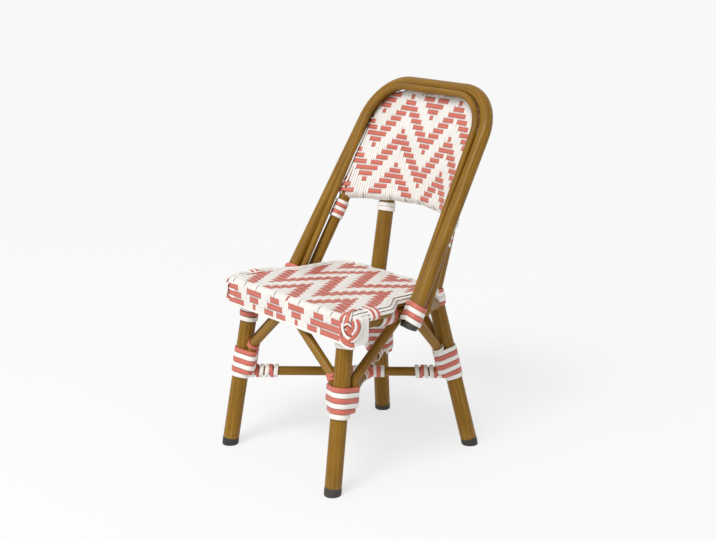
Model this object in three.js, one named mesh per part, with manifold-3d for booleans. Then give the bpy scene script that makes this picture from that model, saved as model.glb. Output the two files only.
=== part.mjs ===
// A woven bistro chair for a child: bent aluminium tubes painted like cane, a woven seat and
// back panel of plastic strand, and two-colour strand lashings where the tubes meet.
// Millimetres, +Z up, the front of the chair faces -Y.
import * as THREE from "three";
import * as BufferGeometryUtils from "three/addons/utils/BufferGeometryUtils.js";
import Module from "manifold-3d";

const wasm = await Module();
wasm.setup();

// Clearances
const fitGap = 0.3;
const mergeDistance = 1e-4;

// Tubes
const legTube = 28;
const railTube = 22;
const ringTube = 14;
const hoopTube = 22;
const innerHoopTube = 20;
const beadRod = 11.5;
const lowerBackTube = 20;
const frontRailTube = 16;
const braceTube = 16;
const stretcherTube = 16;
const tubeWall = 1.5;

// Base frame
const railHeight = 270.5;
const rearRailDrop = 14.5;
const frontLegSplay = 16;
const frontFootForward = 164;
const frontHeadInset = 40.4;
const frontHeadForward = 122;
const rearFootHalfSpread = 120;
const rearFootBack = 164;
const kneeRise = 7.5;
const kneeHalfSpread = 74.7;
const kneeBack = 113.2;
const rearHeadHalfSpread = 85;
const rearHeadBehind = 17.5;
const kneeBend = 50;
const sideRailBend = 40;
const sideRailFrontTurn = 75;
const sideRailRearTurn = 40;
const frontRailBend = 20;
const frontRailDrop = 8.5;
const frontRailTurnInset = 23;
const stretcherDrop = 137.5;

// Foot caps
const capHeight = 13;
const capShank = 14;

// Seat
const seatFront = 151;
const seatBack = 97.5;
const seatOverhang = 3.6;
const seatFrontCorner = 20;
const seatRearCorner = 56;
const seatShoulderTaper = 3;
const seatShoulderForward = 62;
const seatNotchForward = 27;
const seatNotchBend = 16;
const seatCrown = 3;
const apronDrop = 37.5;
const sideDrop = 1;
const apronCornerReach = 32;
const apronCornerRun = 20;
const ringSlit = 0.6;
const sheetWall = 3;

// Back
const backLean = THREE.MathUtils.degToRad(30.4);
const hoopFootHalf = 171.4;
const hoopHeadHalf = 148;
const hoopFootForward = 21;
const hoopFootDrop = 6.8;
const hoopRise = 409;
const hoopCorner = 82;
const innerHoopFootInset = 13;
const innerHoopFootDepth = 31;
const innerHoopHeadDepth = 14.5;
const beadSlack = 2.4;
const beadFootDepth = 6;
const beadHeadDepth = -13;
const panelFoot = 194;
const panelArch = 8;
const panelBulge = 45;
const panelBulgePower = 1.5;
const plugHead = 3;
const plugShank = 12;
const beadCapWall = 1.2;
const beadCapHeight = 9;

// Braces, from a leg up to a rail
const frontBraceHalf = 20;
const sideBraceForward = 7;
const sideBraceBack = 12;
const backBraceHalf = 20;
const braceBend = 16;

// Lashings of flat strand
const strandWidth = 7.2;
const strandThickness = 2.6;
const strandPitch = 8.2;
const legLashingReach = 9;
const legLashingLoops = 6;
const braceFootRise = 8;
const braceTurnRise = 8;
const hoopLashingFoot = 14;
const hoopLashingLoops = 4;
const kneeLashingLoops = 2;
const legTopLashingLoops = 2;
const stretcherLashingLoops = 3;
const innerHoopLashingLoops = 3;
const rearHeadLashingLoops = 1.5;
const lashingClearance = 0.9;
const crossRingShare = 0.9;

// Facets
const tubeSides = 12;
const boreSides = 6;
const thinSides = 8;
const cutterSides = 12;
const bendSteps = 4;
const rollSteps = 3;
const legLashingSteps = 13;
const lashingSteps = 10;

// Colours
const cane = new THREE.MeshStandardMaterial({ color: 0x9a7434, roughness: 0.42, metalness: 0.25 });
const coral = new THREE.MeshStandardMaterial({ color: 0xc96d5f, roughness: 0.5, metalness: 0 });
const white = new THREE.MeshStandardMaterial({ color: 0xefe9e2, roughness: 0.5, metalness: 0 });
const black = new THREE.MeshStandardMaterial({ color: 0x201f1d, roughness: 0.6, metalness: 0 });

const vec = (x, y, z) => new THREE.Vector3(x, y, z);
const chair = new THREE.Group();

function add(name, geometry, material) {
  const mesh = new THREE.Mesh(geometry, material);
  mesh.name = name;
  chair.add(mesh);
}

// A curve through chosen stations, so that straight runs take no extra steps.
class Route extends THREE.Curve {
  constructor(stations) {
    super();
    this.stations = stations;
  }

  getPoint(t, target = new THREE.Vector3()) {
    const place = t * (this.stations.length - 1);
    const index = Math.min(Math.floor(place), this.stations.length - 2);
    return target.lerpVectors(this.stations[index], this.stations[index + 1], place - index);
  }

  getPointAt(u, target) {
    return this.getPoint(u, target);
  }

  getTangent(t, target = new THREE.Vector3()) {
    const index = Math.round(t * (this.stations.length - 1));
    const before = this.stations[Math.max(index - 1, 0)];
    const after = this.stations[Math.min(index + 1, this.stations.length - 1)];
    return target.subVectors(after, before).normalize();
  }

  getTangentAt(u, target) {
    return this.getTangent(u, target);
  }
}

// Stations along straight runs that are joined by round bends.
function bentRoute(corners, bends) {
  const stations = [corners[0].clone()];
  for (let i = 1; i < corners.length - 1; i += 1) {
    const before = corners[i - 1].clone().sub(corners[i]).normalize();
    const after = corners[i + 1].clone().sub(corners[i]).normalize();
    const half = before.angleTo(after) / 2;
    const radius = bends[i - 1];
    const middle = before.clone().add(after).normalize();
    const centre = corners[i].clone().addScaledVector(middle, radius / Math.sin(half));
    const start = corners[i].clone().addScaledVector(before, radius / Math.tan(half)).sub(centre);
    const end = corners[i].clone().addScaledVector(after, radius / Math.tan(half)).sub(centre);
    const axis = start.clone().cross(end).normalize();
    for (let step = 0; step <= bendSteps; step += 1) {
      const turned = start.clone().applyAxisAngle(axis, (start.angleTo(end) * step) / bendSteps);
      stations.push(turned.add(centre));
    }
  }
  stations.push(corners[corners.length - 1].clone());
  return stations;
}

function polygon(diameter, sides) {
  const points = [];
  for (let i = 0; i < sides; i += 1) {
    const angle = (2 * Math.PI * i) / sides;
    points.push(new THREE.Vector2(Math.cos(angle), Math.sin(angle)).multiplyScalar(diameter / 2));
  }
  return points;
}

function rod(stations, diameter, sides) {
  const shape = new THREE.Shape(polygon(diameter, sides));
  const extrudePath = new Route(stations);
  return new THREE.ExtrudeGeometry(shape, { steps: stations.length - 1, extrudePath, bevelEnabled: false });
}

function tube(stations, diameter, sides = tubeSides) {
  const shape = new THREE.Shape(polygon(diameter, sides));
  shape.holes.push(new THREE.Path(polygon(diameter - 2 * tubeWall, boreSides)));
  const extrudePath = new Route(stations);
  return new THREE.ExtrudeGeometry(shape, { steps: stations.length - 1, extrudePath, bevelEnabled: false });
}

function toSolid(geometry) {
  const bare = geometry.clone();
  bare.deleteAttribute("normal");
  bare.deleteAttribute("uv");
  const merged = BufferGeometryUtils.mergeVertices(bare, mergeDistance);
  const vertProperties = new Float32Array(merged.attributes.position.array);
  const triVerts = new Uint32Array(merged.index.array);
  return new wasm.Manifold(new wasm.Mesh({ numProp: 3, vertProperties, triVerts }));
}

function toGeometry(solid) {
  const mesh = solid.getMesh();
  const geometry = new THREE.BufferGeometry();
  geometry.setAttribute("position", new THREE.BufferAttribute(mesh.vertProperties, 3));
  geometry.setIndex(new THREE.BufferAttribute(mesh.triVerts, 1));
  geometry.computeVertexNormals();
  return geometry;
}

// Cuts a piece to the shape of its neighbours, given as cutters.
function cope(geometry, cutters) {
  let solid = toSolid(geometry);
  for (const cutter of cutters) {
    solid = solid.subtract(toSolid(cutter));
  }
  return toGeometry(solid);
}

const cutterFor = (stations, diameter) => rod(stations, diameter + 2 * fitGap, cutterSides);

// The place on a straight line from one point to another at a given height.
function atHeight(from, to, height) {
  return from.clone().lerp(to, (height - from.z) / (to.z - from.z));
}

// Heights that follow the side rails
const frontRailHeight = railHeight - frontRailDrop;
const rearRailHeight = railHeight - rearRailDrop;
const kneeHeight = railHeight + kneeRise;
const stretcherHeight = railHeight - stretcherDrop;
const legLashingFoot = stretcherHeight - legLashingReach;
const hoopFootHeight = railHeight - hoopFootDrop;

// Places in the leaning plane of the back: across, up the plane and behind it.
function onBack(across, up, behind) {
  const y = -hoopFootForward + up * Math.sin(backLean) + behind * Math.cos(backLean);
  const z = hoopFootHeight + up * Math.cos(backLean) - behind * Math.sin(backLean);
  return vec(across, y, z);
}

const seatFrontHalf = hoopFootHalf + seatOverhang;
const hoopTaper = (hoopFootHalf - hoopHeadHalf) / hoopRise;
const lashingBuild = lashingClearance + strandThickness;
const backSheetRadius = innerHoopTube / 2 + 2 * fitGap + sheetWall;
const beadReach = (hoopTube + beadRod) / 2 + fitGap;
const innerHoopReach = hoopTube / 2 + backSheetRadius + fitGap;

// How far in and behind the outer hoop each rod of the back runs, at its foot and at its head
const outerLine = { footInset: 0, headInset: 0, footDepth: 0, headDepth: 0 };
const beadLine = {
  footInset: Math.sqrt(beadReach ** 2 - beadFootDepth ** 2) + 2 * beadSlack,
  headInset: Math.sqrt(beadReach ** 2 - beadHeadDepth ** 2) + beadSlack,
  footDepth: beadFootDepth,
  headDepth: beadHeadDepth,
};
const innerLine = {
  footInset: innerHoopFootInset,
  headInset: Math.sqrt(innerHoopReach ** 2 - innerHoopHeadDepth ** 2),
  footDepth: innerHoopFootDepth,
  headDepth: innerHoopHeadDepth,
};

function halfAt(line, up) {
  const inset = THREE.MathUtils.lerp(line.footInset, line.headInset, up / hoopRise);
  return hoopFootHalf - hoopTaper * up - inset;
}

const depthAt = (line, up) => THREE.MathUtils.lerp(line.footDepth, line.headDepth, up / hoopRise);
const onStile = (line, side, up) => onBack(side * halfAt(line, up), up, depthAt(line, up));

// Derived heights and places of the base frame
const frontHeadHalfSpread = hoopFootHalf - frontHeadInset;
const frontFootHalfSpread = frontHeadHalfSpread + frontLegSplay;
const frontRailTurnHalf = frontHeadHalfSpread - frontRailTurnInset;
const ringHeight = railHeight + (railTube + ringTube) / 2 + fitGap;
const frontLegRake = frontFootForward - frontHeadForward;
const frontLegLean = Math.atan(Math.hypot(frontLegSplay, frontLegRake) / railHeight);
const legHeadHeight = ringHeight - ringTube / 2 - fitGap - (legTube / 2) * Math.sin(frontLegLean);
const edgeRadius = ringTube / 2 + 2 * fitGap + sheetWall;
const seatUp = (ringHeight + edgeRadius - hoopFootHeight) / Math.cos(backLean);
const beadHalf = Math.min(halfAt(beadLine, 0), halfAt(beadLine, seatUp));
const seatNotchHalf = beadHalf - beadRod / 2 - lashingBuild;
const sideRailHalf = seatNotchHalf - railTube / 2 + fitGap;
const innerStileHalf = halfAt(innerLine, panelFoot);
const panelHead = hoopRise - innerLine.headInset;

function bulge(across, up) {
  const sideShare = 1 - Math.min(1, Math.abs(across) / innerStileHalf) ** 2;
  const footShare = THREE.MathUtils.clamp((panelHead - up) / (panelHead - panelFoot), 0, 1);
  return panelBulge * sideShare * footShare ** panelBulgePower;
}

// The middle of the bowed rail that the foot of the panel rolls over
function panelFootAt(across) {
  const up = panelFoot + panelArch * (1 - (across / innerStileHalf) ** 2);
  return onBack(across, up, depthAt(innerLine, up)).add(vec(0, bulge(across, up), 0));
}

// Legs
function legLine(side, isFront) {
  if (isFront) {
    const foot = vec(side * frontFootHalfSpread, -frontFootForward, 0);
    const head = vec(side * frontHeadHalfSpread, -frontHeadForward, railHeight);
    return { foot, head: atHeight(foot, head, legHeadHeight) };
  }
  const foot = vec(side * rearFootHalfSpread, rearFootBack, 0);
  return { foot, head: vec(side * kneeHalfSpread, kneeBack, kneeHeight) };
}

const rearHead = (side) => panelFootAt(side * rearHeadHalfSpread).add(vec(0, rearHeadBehind, 0));

function lowerBackStations() {
  const count = 3 * bendSteps;
  const stations = [];
  for (let i = 0; i <= count; i += 1) {
    stations.push(panelFootAt(innerStileHalf * (1 - (2 * i) / count)));
  }
  return stations;
}

const legs = [];
for (const isFront of [true, false]) {
  for (const side of [-1, 1]) {
    const { foot, head } = legLine(side, isFront);
    const axis = head.clone().sub(foot).normalize();
    const start = foot.clone().addScaledVector(axis, capHeight + fitGap);
    const route = isFront ? [start, head] : bentRoute([start, head, rearHead(side)], [kneeBend]);
    const name = `${isFront ? "front" : "rear"}_${side < 0 ? "left" : "right"}`;
    legs.push({ name, side, isFront, foot, head, axis, route });
  }
}

const legNamed = (name) => legs.find((leg) => leg.name === name);

function addLegs() {
  const lowerBack = cutterFor(lowerBackStations(), lowerBackTube);
  for (const leg of legs) {
    const whole = tube(leg.route, legTube);
    add(`leg_${leg.name}`, leg.isFront ? whole : cope(whole, [lowerBack]), cane);
  }
}

// A plug with a head as wide as its tube and a shank that goes up inside it
function plugProfile(below, head, diameter, shank) {
  const shankRadius = (diameter / 2 - tubeWall) * Math.cos(Math.PI / boreSides) - fitGap;
  return [
    new THREE.Vector2(0, below),
    new THREE.Vector2(diameter / 2, below),
    new THREE.Vector2(diameter / 2, head),
    new THREE.Vector2(shankRadius, head),
    new THREE.Vector2(shankRadius, head + shank),
    new THREE.Vector2(0, head + shank),
  ];
}

function turned(profile, foot, axis) {
  const body = new THREE.LatheGeometry(profile, tubeSides);
  body.applyQuaternion(new THREE.Quaternion().setFromUnitVectors(vec(0, 1, 0), axis));
  return body.translate(foot.x, foot.y, foot.z);
}

// Foot plugs, cut level where they stand on the floor
function addFootCaps() {
  const profile = plugProfile(-legTube / 2, capHeight, legTube, capShank);
  for (const leg of legs) {
    const reach = 2 * legTube;
    const ground = new THREE.BoxGeometry(reach, reach, reach);
    ground.translate(leg.foot.x, leg.foot.y, -reach / 2);
    add(`foot_cap_${leg.name}`, cope(turned(profile, leg.foot, leg.axis), [ground]), black);
  }
}

// Rails of the base frame
function sideRailStations(side) {
  const front = legNamed(side < 0 ? "front_left" : "front_right");
  const rear = legNamed(side < 0 ? "rear_left" : "rear_right");
  const corners = [
    atHeight(front.foot, front.head, railHeight),
    vec(side * sideRailHalf, -sideRailFrontTurn, railHeight),
    vec(side * sideRailHalf, sideRailRearTurn, railHeight),
    atHeight(rear.foot, rear.head, rearRailHeight),
  ];
  return bentRoute(corners, [sideRailBend, sideRailBend]);
}

function frontRailStations() {
  const y = -seatFront + sheetWall + fitGap + frontRailTube / 2;
  const left = legNamed("front_left");
  const right = legNamed("front_right");
  const corners = [
    atHeight(left.foot, left.head, frontRailHeight),
    vec(-frontRailTurnHalf, y, frontRailHeight),
    vec(frontRailTurnHalf, y, frontRailHeight),
    atHeight(right.foot, right.head, frontRailHeight),
  ];
  return bentRoute(corners, [frontRailBend, frontRailBend]);
}

function backRailStations() {
  return ["rear_left", "rear_right"].map((name) => {
    const leg = legNamed(name);
    return atHeight(leg.foot, leg.head, rearRailHeight);
  });
}

const legCutter = (leg) => cutterFor([leg.foot, ...leg.route.slice(1)], legTube);

function addRails() {
  for (const side of [-1, 1]) {
    const word = side < 0 ? "left" : "right";
    const cutters = [legCutter(legNamed(`front_${word}`)), legCutter(legNamed(`rear_${word}`))];
    add(`side_rail_${word}`, cope(tube(sideRailStations(side), railTube), cutters), cane);
  }
  const frontCutters = [legCutter(legNamed("front_left")), legCutter(legNamed("front_right"))];
  add("front_rail", cope(tube(frontRailStations(), frontRailTube, thinSides), frontCutters), cane);
  const rearCutters = [];
  for (const word of ["left", "right"]) {
    rearCutters.push(legCutter(legNamed(`rear_${word}`)));
    rearCutters.push(cutterFor(sideRailStations(word === "left" ? -1 : 1), railTube));
  }
  add("back_rail", cope(tube(backRailStations(), braceTube, thinSides), rearCutters), cane);
}

// Crossed stretchers: one runs through, the other is two halves that meet it.
function stretcherEnd(leg) {
  return atHeight(leg.foot, leg.head, stretcherHeight);
}

function stretcherCrossing() {
  const front = stretcherEnd(legNamed("front_right"));
  const rear = stretcherEnd(legNamed("rear_left"));
  return front.lerp(rear, front.x / (front.x - rear.x));
}

function addStretchers() {
  const crossing = stretcherCrossing();
  const through = [legNamed("front_left"), legNamed("rear_right")];
  const throughRoute = through.map(stretcherEnd);
  const throughTube = tube(throughRoute, stretcherTube, thinSides);
  add("stretcher_through", cope(throughTube, through.map(legCutter)), cane);
  for (const leg of [legNamed("front_right"), legNamed("rear_left")]) {
    const half = tube([crossing, stretcherEnd(leg)], stretcherTube, thinSides);
    const cutters = [cutterFor(throughRoute, stretcherTube), legCutter(leg)];
    add(`stretcher_half_${leg.isFront ? "front" : "rear"}`, cope(half, cutters), cane);
  }
}

// Directions round a leg, from its outer side, square to its axis.
function legFrame(leg) {
  const inward = stretcherCrossing().sub(stretcherEnd(leg));
  const outer = inward.negate().projectOnPlane(leg.axis).normalize();
  return { outer, across: leg.axis.clone().cross(outer) };
}

const braceOffset = (legTube + braceTube) / 2 + fitGap;
const braceSplay = Math.asin((braceTube + stretcherTube + 4 * fitGap) / 2 / braceOffset);
const legLashingShift = (stretcherTube + strandWidth) / 2 + lashingClearance + fitGap;
const legLashingHead = legLashingFoot + strandPitch * legLashingLoops + legLashingShift;

function braceDirection(leg, target) {
  const { outer, across } = legFrame(leg);
  const choices = [-1, 1].map((turn) => {
    const angle = Math.PI + turn * braceSplay;
    return outer.clone().multiplyScalar(Math.cos(angle)).addScaledVector(across, Math.sin(angle));
  });
  const wanted = target.clone().sub(leg.foot).setZ(0);
  return choices[0].dot(wanted) > choices[1].dot(wanted) ? choices[0] : choices[1];
}

function addBrace(name, leg, target, railCutter) {
  const offset = braceDirection(leg, target).multiplyScalar(braceOffset);
  const foot = atHeight(leg.foot, leg.head, legLashingFoot + braceFootRise).add(offset);
  const turn = atHeight(leg.foot, leg.head, legLashingHead + braceTurnRise).add(offset);
  const route = bentRoute([foot, turn, target], [braceBend]);
  add(name, cope(tube(route, braceTube, thinSides), [railCutter]), cane);
}

function addBraces() {
  for (const leg of legs) {
    const rail = sideRailStations(leg.side);
    const sideBraceY = leg.isFront ? -sideBraceForward : sideBraceBack;
    const sideTarget = vec(leg.side * sideRailHalf, sideBraceY, railHeight);
    addBrace(`side_brace_${leg.name}`, leg, sideTarget, cutterFor(rail, railTube));
    if (leg.isFront) {
      const route = frontRailStations();
      const target = vec(leg.side * frontBraceHalf, route[bendSteps + 2].y, frontRailHeight);
      addBrace(`cross_brace_${leg.name}`, leg, target, cutterFor(route, frontRailTube));
    } else {
      const route = backRailStations();
      const target = vec(leg.side * backBraceHalf, route[0].y, rearRailHeight);
      addBrace(`cross_brace_${leg.name}`, leg, target, cutterFor(route, braceTube));
    }
  }
}

// Seat ring, and the centreline that the woven seat rolls over
function seatEdge() {
  const front = -seatFront + edgeRadius;
  const back = seatBack - edgeRadius;
  const half = [
    vec(ringSlit / 2, back, ringHeight),
    vec(seatNotchHalf - edgeRadius, back, ringHeight),
    vec(seatNotchHalf - edgeRadius, -seatNotchForward, ringHeight),
    vec(seatFrontHalf - seatShoulderTaper - edgeRadius, -seatShoulderForward, ringHeight),
    vec(seatFrontHalf - edgeRadius, front, ringHeight),
  ];
  const otherHalf = half.map((point) => vec(-point.x, point.y, point.z)).reverse();
  const bends = [seatRearCorner - edgeRadius, seatNotchBend, seatNotchBend, seatFrontCorner - edgeRadius];
  return bentRoute([...half, ...otherHalf], [...bends, ...bends.toReversed()]);
}

// Splits the long runs of a closed loop, so that a sheet over it has even facets.
function splitRuns(stations, longest) {
  const split = [];
  stations.forEach((point, index) => {
    const next = stations[(index + 1) % stations.length];
    const parts = Math.max(1, Math.ceil(point.distanceTo(next) / longest));
    for (let part = 0; part < parts; part += 1) {
      split.push(point.clone().lerp(next, part / parts));
    }
  });
  return split;
}

// A woven sheet that rolls over the tube along its edge. The loop runs in the sheet's own
// two directions, surface() gives places on the tubes' middle, and drops() the skirt's depth.
function rolledSheet({ loop, surface, drops, radius, ringShares }) {
  const middle = loop.reduce((sum, point) => sum.add(point), vec(0, 0, 0)).divideScalar(loop.length);
  const normalAt = (point) => {
    const along = surface(point.clone().add(vec(fitGap, 0, 0))).sub(surface(point));
    const up = surface(point.clone().add(vec(0, fitGap, 0))).sub(surface(point));
    return along.cross(up).normalize();
  };
  const column = (index, offset) => {
    const point = loop[index];
    const before = surface(loop[(index + loop.length - 1) % loop.length]);
    const after = surface(loop[(index + 1) % loop.length]);
    const normal = normalAt(point);
    const outward = after.sub(before).cross(normal).normalize();
    if (outward.dot(surface(point).sub(surface(middle))) < 0) {
      outward.negate();
    }
    const place = (out, rise) =>
      surface(point).addScaledVector(outward, out).addScaledVector(normal, rise);
    const places = [place(offset, -drops(point))];
    for (let step = 0; step <= rollSteps; step += 1) {
      const angle = (Math.PI / 2) * (step / rollSteps);
      places.push(place(offset * Math.cos(angle), offset * Math.sin(angle)));
    }
    for (const share of ringShares) {
      const inner = point.clone().lerp(middle, share);
      places.push(surface(inner).addScaledVector(normalAt(inner), offset));
    }
    return places;
  };
  const positions = [];
  const columns = loop.map((_, index) => [
    ...column(index, radius),
    ...column(index, radius - sheetWall).reverse(),
  ]);
  const perColumn = columns[0].length;
  for (const places of columns) {
    positions.push(...places.flatMap((place) => place.toArray()));
  }
  const top = surface(middle).addScaledVector(normalAt(middle), radius);
  const under = surface(middle).addScaledVector(normalAt(middle), radius - sheetWall);
  positions.push(...top.toArray(), ...under.toArray());
  const topIndex = loop.length * perColumn;
  const lastOuter = perColumn / 2 - 1;
  const faces = [];
  for (let i = 0; i < loop.length; i += 1) {
    const here = i * perColumn;
    const next = ((i + 1) % loop.length) * perColumn;
    for (let j = 0; j < perColumn; j += 1) {
      const k = (j + 1) % perColumn;
      if (j === lastOuter) {
        faces.push([here + j, next + j, topIndex], [next + k, here + k, topIndex + 1]);
      } else {
        faces.push([here + j, next + j, next + k], [here + j, next + k, here + k]);
      }
    }
  }
  return outwardGeometry(positions, faces);
}

// Builds a closed mesh and turns all its faces out where they point in.
function outwardGeometry(positions, faces) {
  const corner = (index) => vec(...positions.slice(3 * index, 3 * index + 3));
  const volume = faces.reduce((sum, [a, b, c]) => sum + corner(a).dot(corner(b).cross(corner(c))), 0);
  const turned = volume < 0 ? faces.map(([a, b, c]) => [a, c, b]) : faces;
  const geometry = new THREE.BufferGeometry();
  geometry.setAttribute("position", new THREE.Float32BufferAttribute(positions, 3));
  geometry.setIndex(turned.flat());
  geometry.computeVertexNormals();
  return geometry;
}

function addSeat() {
  const edge = seatEdge();
  add("seat_ring", tube(edge, ringTube, thinSides), cane);
  const middle = (seatBack - seatFront) / 2;
  const halfDepth = (seatBack + seatFront) / 2 - edgeRadius;
  const surface = (point) => {
    const acrossShare = Math.max(0, 1 - (point.x / (seatFrontHalf - edgeRadius)) ** 2);
    const depthShare = Math.max(0, 1 - ((point.y - middle) / halfDepth) ** 2);
    return vec(point.x, point.y, ringHeight + seatCrown * (acrossShare * depthShare) ** 2);
  };
  const cornerEnd = -seatFront + edgeRadius + apronCornerReach;
  const drops = (point) => {
    const share = THREE.MathUtils.smoothstep(point.y, cornerEnd - apronCornerRun, cornerEnd);
    return THREE.MathUtils.lerp(apronDrop, sideDrop, share);
  };
  const loop = splitRuns(edge.slice(1, -1), seatFront / 4);
  const ringShares = [0.25, 0.62];
  add("woven_seat", rolledSheet({ loop, surface, drops, radius: edgeRadius, ringShares }), white);
}

// Back hoops
function hoopStations(line, foot) {
  const head = hoopRise - line.headInset;
  const corners = [
    onStile(line, -1, foot),
    onStile(line, -1, head),
    onStile(line, 1, head),
    onStile(line, 1, foot),
  ];
  const bend = hoopCorner - line.headInset;
  return bentRoute(corners, [bend, bend]);
}

const innerHoopFoot = (hoopFootDrop + innerHoopFootDepth * Math.sin(backLean)) / Math.cos(backLean);
const innerHoopRoute = () => hoopStations(innerLine, innerHoopFoot);

function addHoops() {
  add("back_hoop", tube(hoopStations(outerLine, 0), hoopTube), cane);
  add("hoop_bead", rod(hoopStations(beadLine, 0), beadRod, boreSides), cane);
  const railCutters = [-1, 1].map((side) => cutterFor(sideRailStations(side), railTube));
  add("inner_hoop", cope(tube(innerHoopRoute(), innerHoopTube), railCutters), cane);
  const lowerBack = tube(lowerBackStations(), lowerBackTube);
  add("lower_back_rail", cope(lowerBack, [cutterFor(innerHoopRoute(), innerHoopTube)]), cane);
}

function addWovenBack() {
  const topHalf = halfAt(innerLine, panelHead);
  const corners = [
    vec(-innerStileHalf, panelFoot, 0),
    vec(-topHalf, panelHead, 0),
    vec(topHalf, panelHead, 0),
    vec(innerStileHalf, panelFoot, 0),
  ];
  const bend = hoopCorner - innerLine.headInset;
  const loop = splitRuns(bentRoute(corners, [bend, bend]), panelBulge);
  const surface = (point) => {
    const footShare = (panelHead - point.y) / (panelHead - panelFoot);
    const rise = panelArch * (1 - (point.x / innerStileHalf) ** 2) * footShare;
    const up = point.y + Math.max(0, rise);
    return onBack(point.x, up, depthAt(innerLine, up)).add(vec(0, bulge(point.x, up), 0));
  };
  const ringShares = [0.3, 0.65];
  const cutters = [cutterFor(innerHoopRoute(), innerHoopTube), cutterFor(lowerBackStations(), lowerBackTube)];
  cutters.push(...legs.filter((leg) => !leg.isFront).map(legCutter));
  const sheet = rolledSheet({ loop, surface, drops: () => 0, radius: backSheetRadius, ringShares });
  add("woven_back", cope(sheet, cutters), white);
}

// Plugs that close the feet of the outer hoop, and cups over the feet of the bead
function addHoopPlugs() {
  const plug = plugProfile(-fitGap - plugHead, -fitGap, hoopTube, plugShank);
  const bore = (beadRod / 2 + fitGap) / Math.cos(Math.PI / tubeSides);
  const cup = [
    new THREE.Vector2(0, -fitGap - beadCapWall),
    new THREE.Vector2(bore + beadCapWall, -fitGap - beadCapWall),
    new THREE.Vector2(bore + beadCapWall, beadCapHeight),
    new THREE.Vector2(bore, beadCapHeight),
    new THREE.Vector2(bore, -fitGap),
    new THREE.Vector2(0, -fitGap),
  ];
  for (const side of [-1, 1]) {
    const word = side < 0 ? "left" : "right";
    for (const [name, line, profile] of [["hoop_plug", outerLine, plug], ["bead_cap", beadLine, cup]]) {
      const foot = onStile(line, side, 0);
      const axis = onStile(line, side, hoopRise).sub(foot).normalize();
      add(`${name}_${word}`, turned(profile, foot, axis), black);
    }
  }
}

// Stations of a strand wound round a bundle of tubes. The bundle lists each tube's place in
// the two directions square to the axis, and its radius.
function windingStations({ origin, axis, outer, bundle, start, pitch, loops, steps, shiftAt }) {
  const across = axis.clone().cross(outer);
  const stations = [];
  const count = Math.round(loops * steps);
  for (let i = 0; i <= count; i += 1) {
    const turn = (2 * Math.PI * i) / steps;
    const out = outer.clone().multiplyScalar(Math.cos(turn)).addScaledVector(across, Math.sin(turn));
    const loop = Math.floor(i / steps);
    const reach = (circle) => circle.x * Math.cos(turn) + circle.y * Math.sin(turn) + circle.radius;
    const circles = bundle(loop);
    const circle = circles.reduce((best, one) => (reach(one) > reach(best) ? one : best));
    const radius = (circle.radius + lashingClearance + strandThickness / 2) / Math.cos(Math.PI / steps);
    const centre = origin.clone();
    centre.addScaledVector(axis, start + (pitch * i) / steps + shiftAt(turn, loop));
    centre.addScaledVector(outer, circle.x).addScaledVector(across, circle.y);
    stations.push({ centre: centre.addScaledVector(out, radius), out, wide: axis });
  }
  return stations;
}

// A flat strand along stations, as one unbroken closed strip.
function strand(name, stations, material) {
  const positions = [];
  const faces = [];
  const last = stations.length - 1;
  stations.forEach(({ centre, out, wide }) => {
    for (const [side, rise] of [[-1, -1], [1, -1], [1, 1], [-1, 1]]) {
      const place = centre.clone().addScaledVector(wide, (side * strandWidth) / 2);
      positions.push(...place.addScaledVector(out, (rise * strandThickness) / 2).toArray());
    }
  });
  for (let index = 0; index < last; index += 1) {
    for (let side = 0; side < 4; side += 1) {
      const here = 4 * index;
      const next = (side + 1) % 4;
      faces.push([here + side, here + 4 + side, here + 4 + next]);
      faces.push([here + side, here + 4 + next, here + next]);
    }
  }
  faces.push([0, 1, 2], [0, 2, 3], [4 * last, 4 * last + 2, 4 * last + 1]);
  faces.push([4 * last, 4 * last + 3, 4 * last + 2]);
  add(name, outwardGeometry(positions, faces), material);
  reportGap(name, stations);
}

// Measures the least gap between turns of one strand on its stations, and prints it.
function reportGap(name, stations) {
  let least = Infinity;
  const along = [0];
  for (let i = 1; i < stations.length; i += 1) {
    along.push(along[i - 1] + stations[i].centre.distanceTo(stations[i - 1].centre));
  }
  for (let i = 0; i < stations.length; i += 1) {
    for (let j = i + 1; j < stations.length; j += 1) {
      if (along[j] - along[i] > 4 * strandWidth) {
        least = Math.min(least, stations[i].centre.distanceTo(stations[j].centre) - strandWidth);
      }
    }
  }
  const text = Number.isFinite(least) ? `${least.toFixed(2)} mm` : "one turn or less";
  console.log(`${name} least gap to itself: ${text}`);
}

// Two strands, white first and then coral, wound together as alternate stripes.
function pairedLashing(name, winding, loops, shiftFor, bundleFor) {
  for (const [index, [word, material]] of [["white", white], ["coral", coral]].entries()) {
    const own = {
      ...winding,
      start: winding.start + strandPitch * index,
      pitch: 2 * strandPitch,
      loops: loops / 2,
      shiftAt: shiftFor(index),
      bundle: bundleFor(index),
    };
    strand(`${name}_${word}`, windingStations(own), material);
  }
}

// One strand wound close round one tube.
function plainLashing(name, { origin, axis, outer, radius, start, loops }, material) {
  const bundle = () => [{ x: 0, y: 0, radius }];
  const steps = lashingSteps;
  const own = { origin, axis, outer, bundle, start, pitch: strandPitch, loops, steps, shiftAt: () => 0 };
  strand(name, windingStations(own), material);
}

const legBundle = [{ x: 0, y: 0, radius: legTube / 2 }];
const bracedBundle = [...legBundle];
for (const turn of [-1, 1]) {
  const angle = Math.PI + turn * braceSplay;
  const x = braceOffset * Math.cos(angle);
  bracedBundle.push({ x, y: braceOffset * Math.sin(angle), radius: braceTube / 2 });
}
const bracedReach = braceOffset * Math.cos(braceSplay) + braceTube / 2 + lashingBuild;

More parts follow.
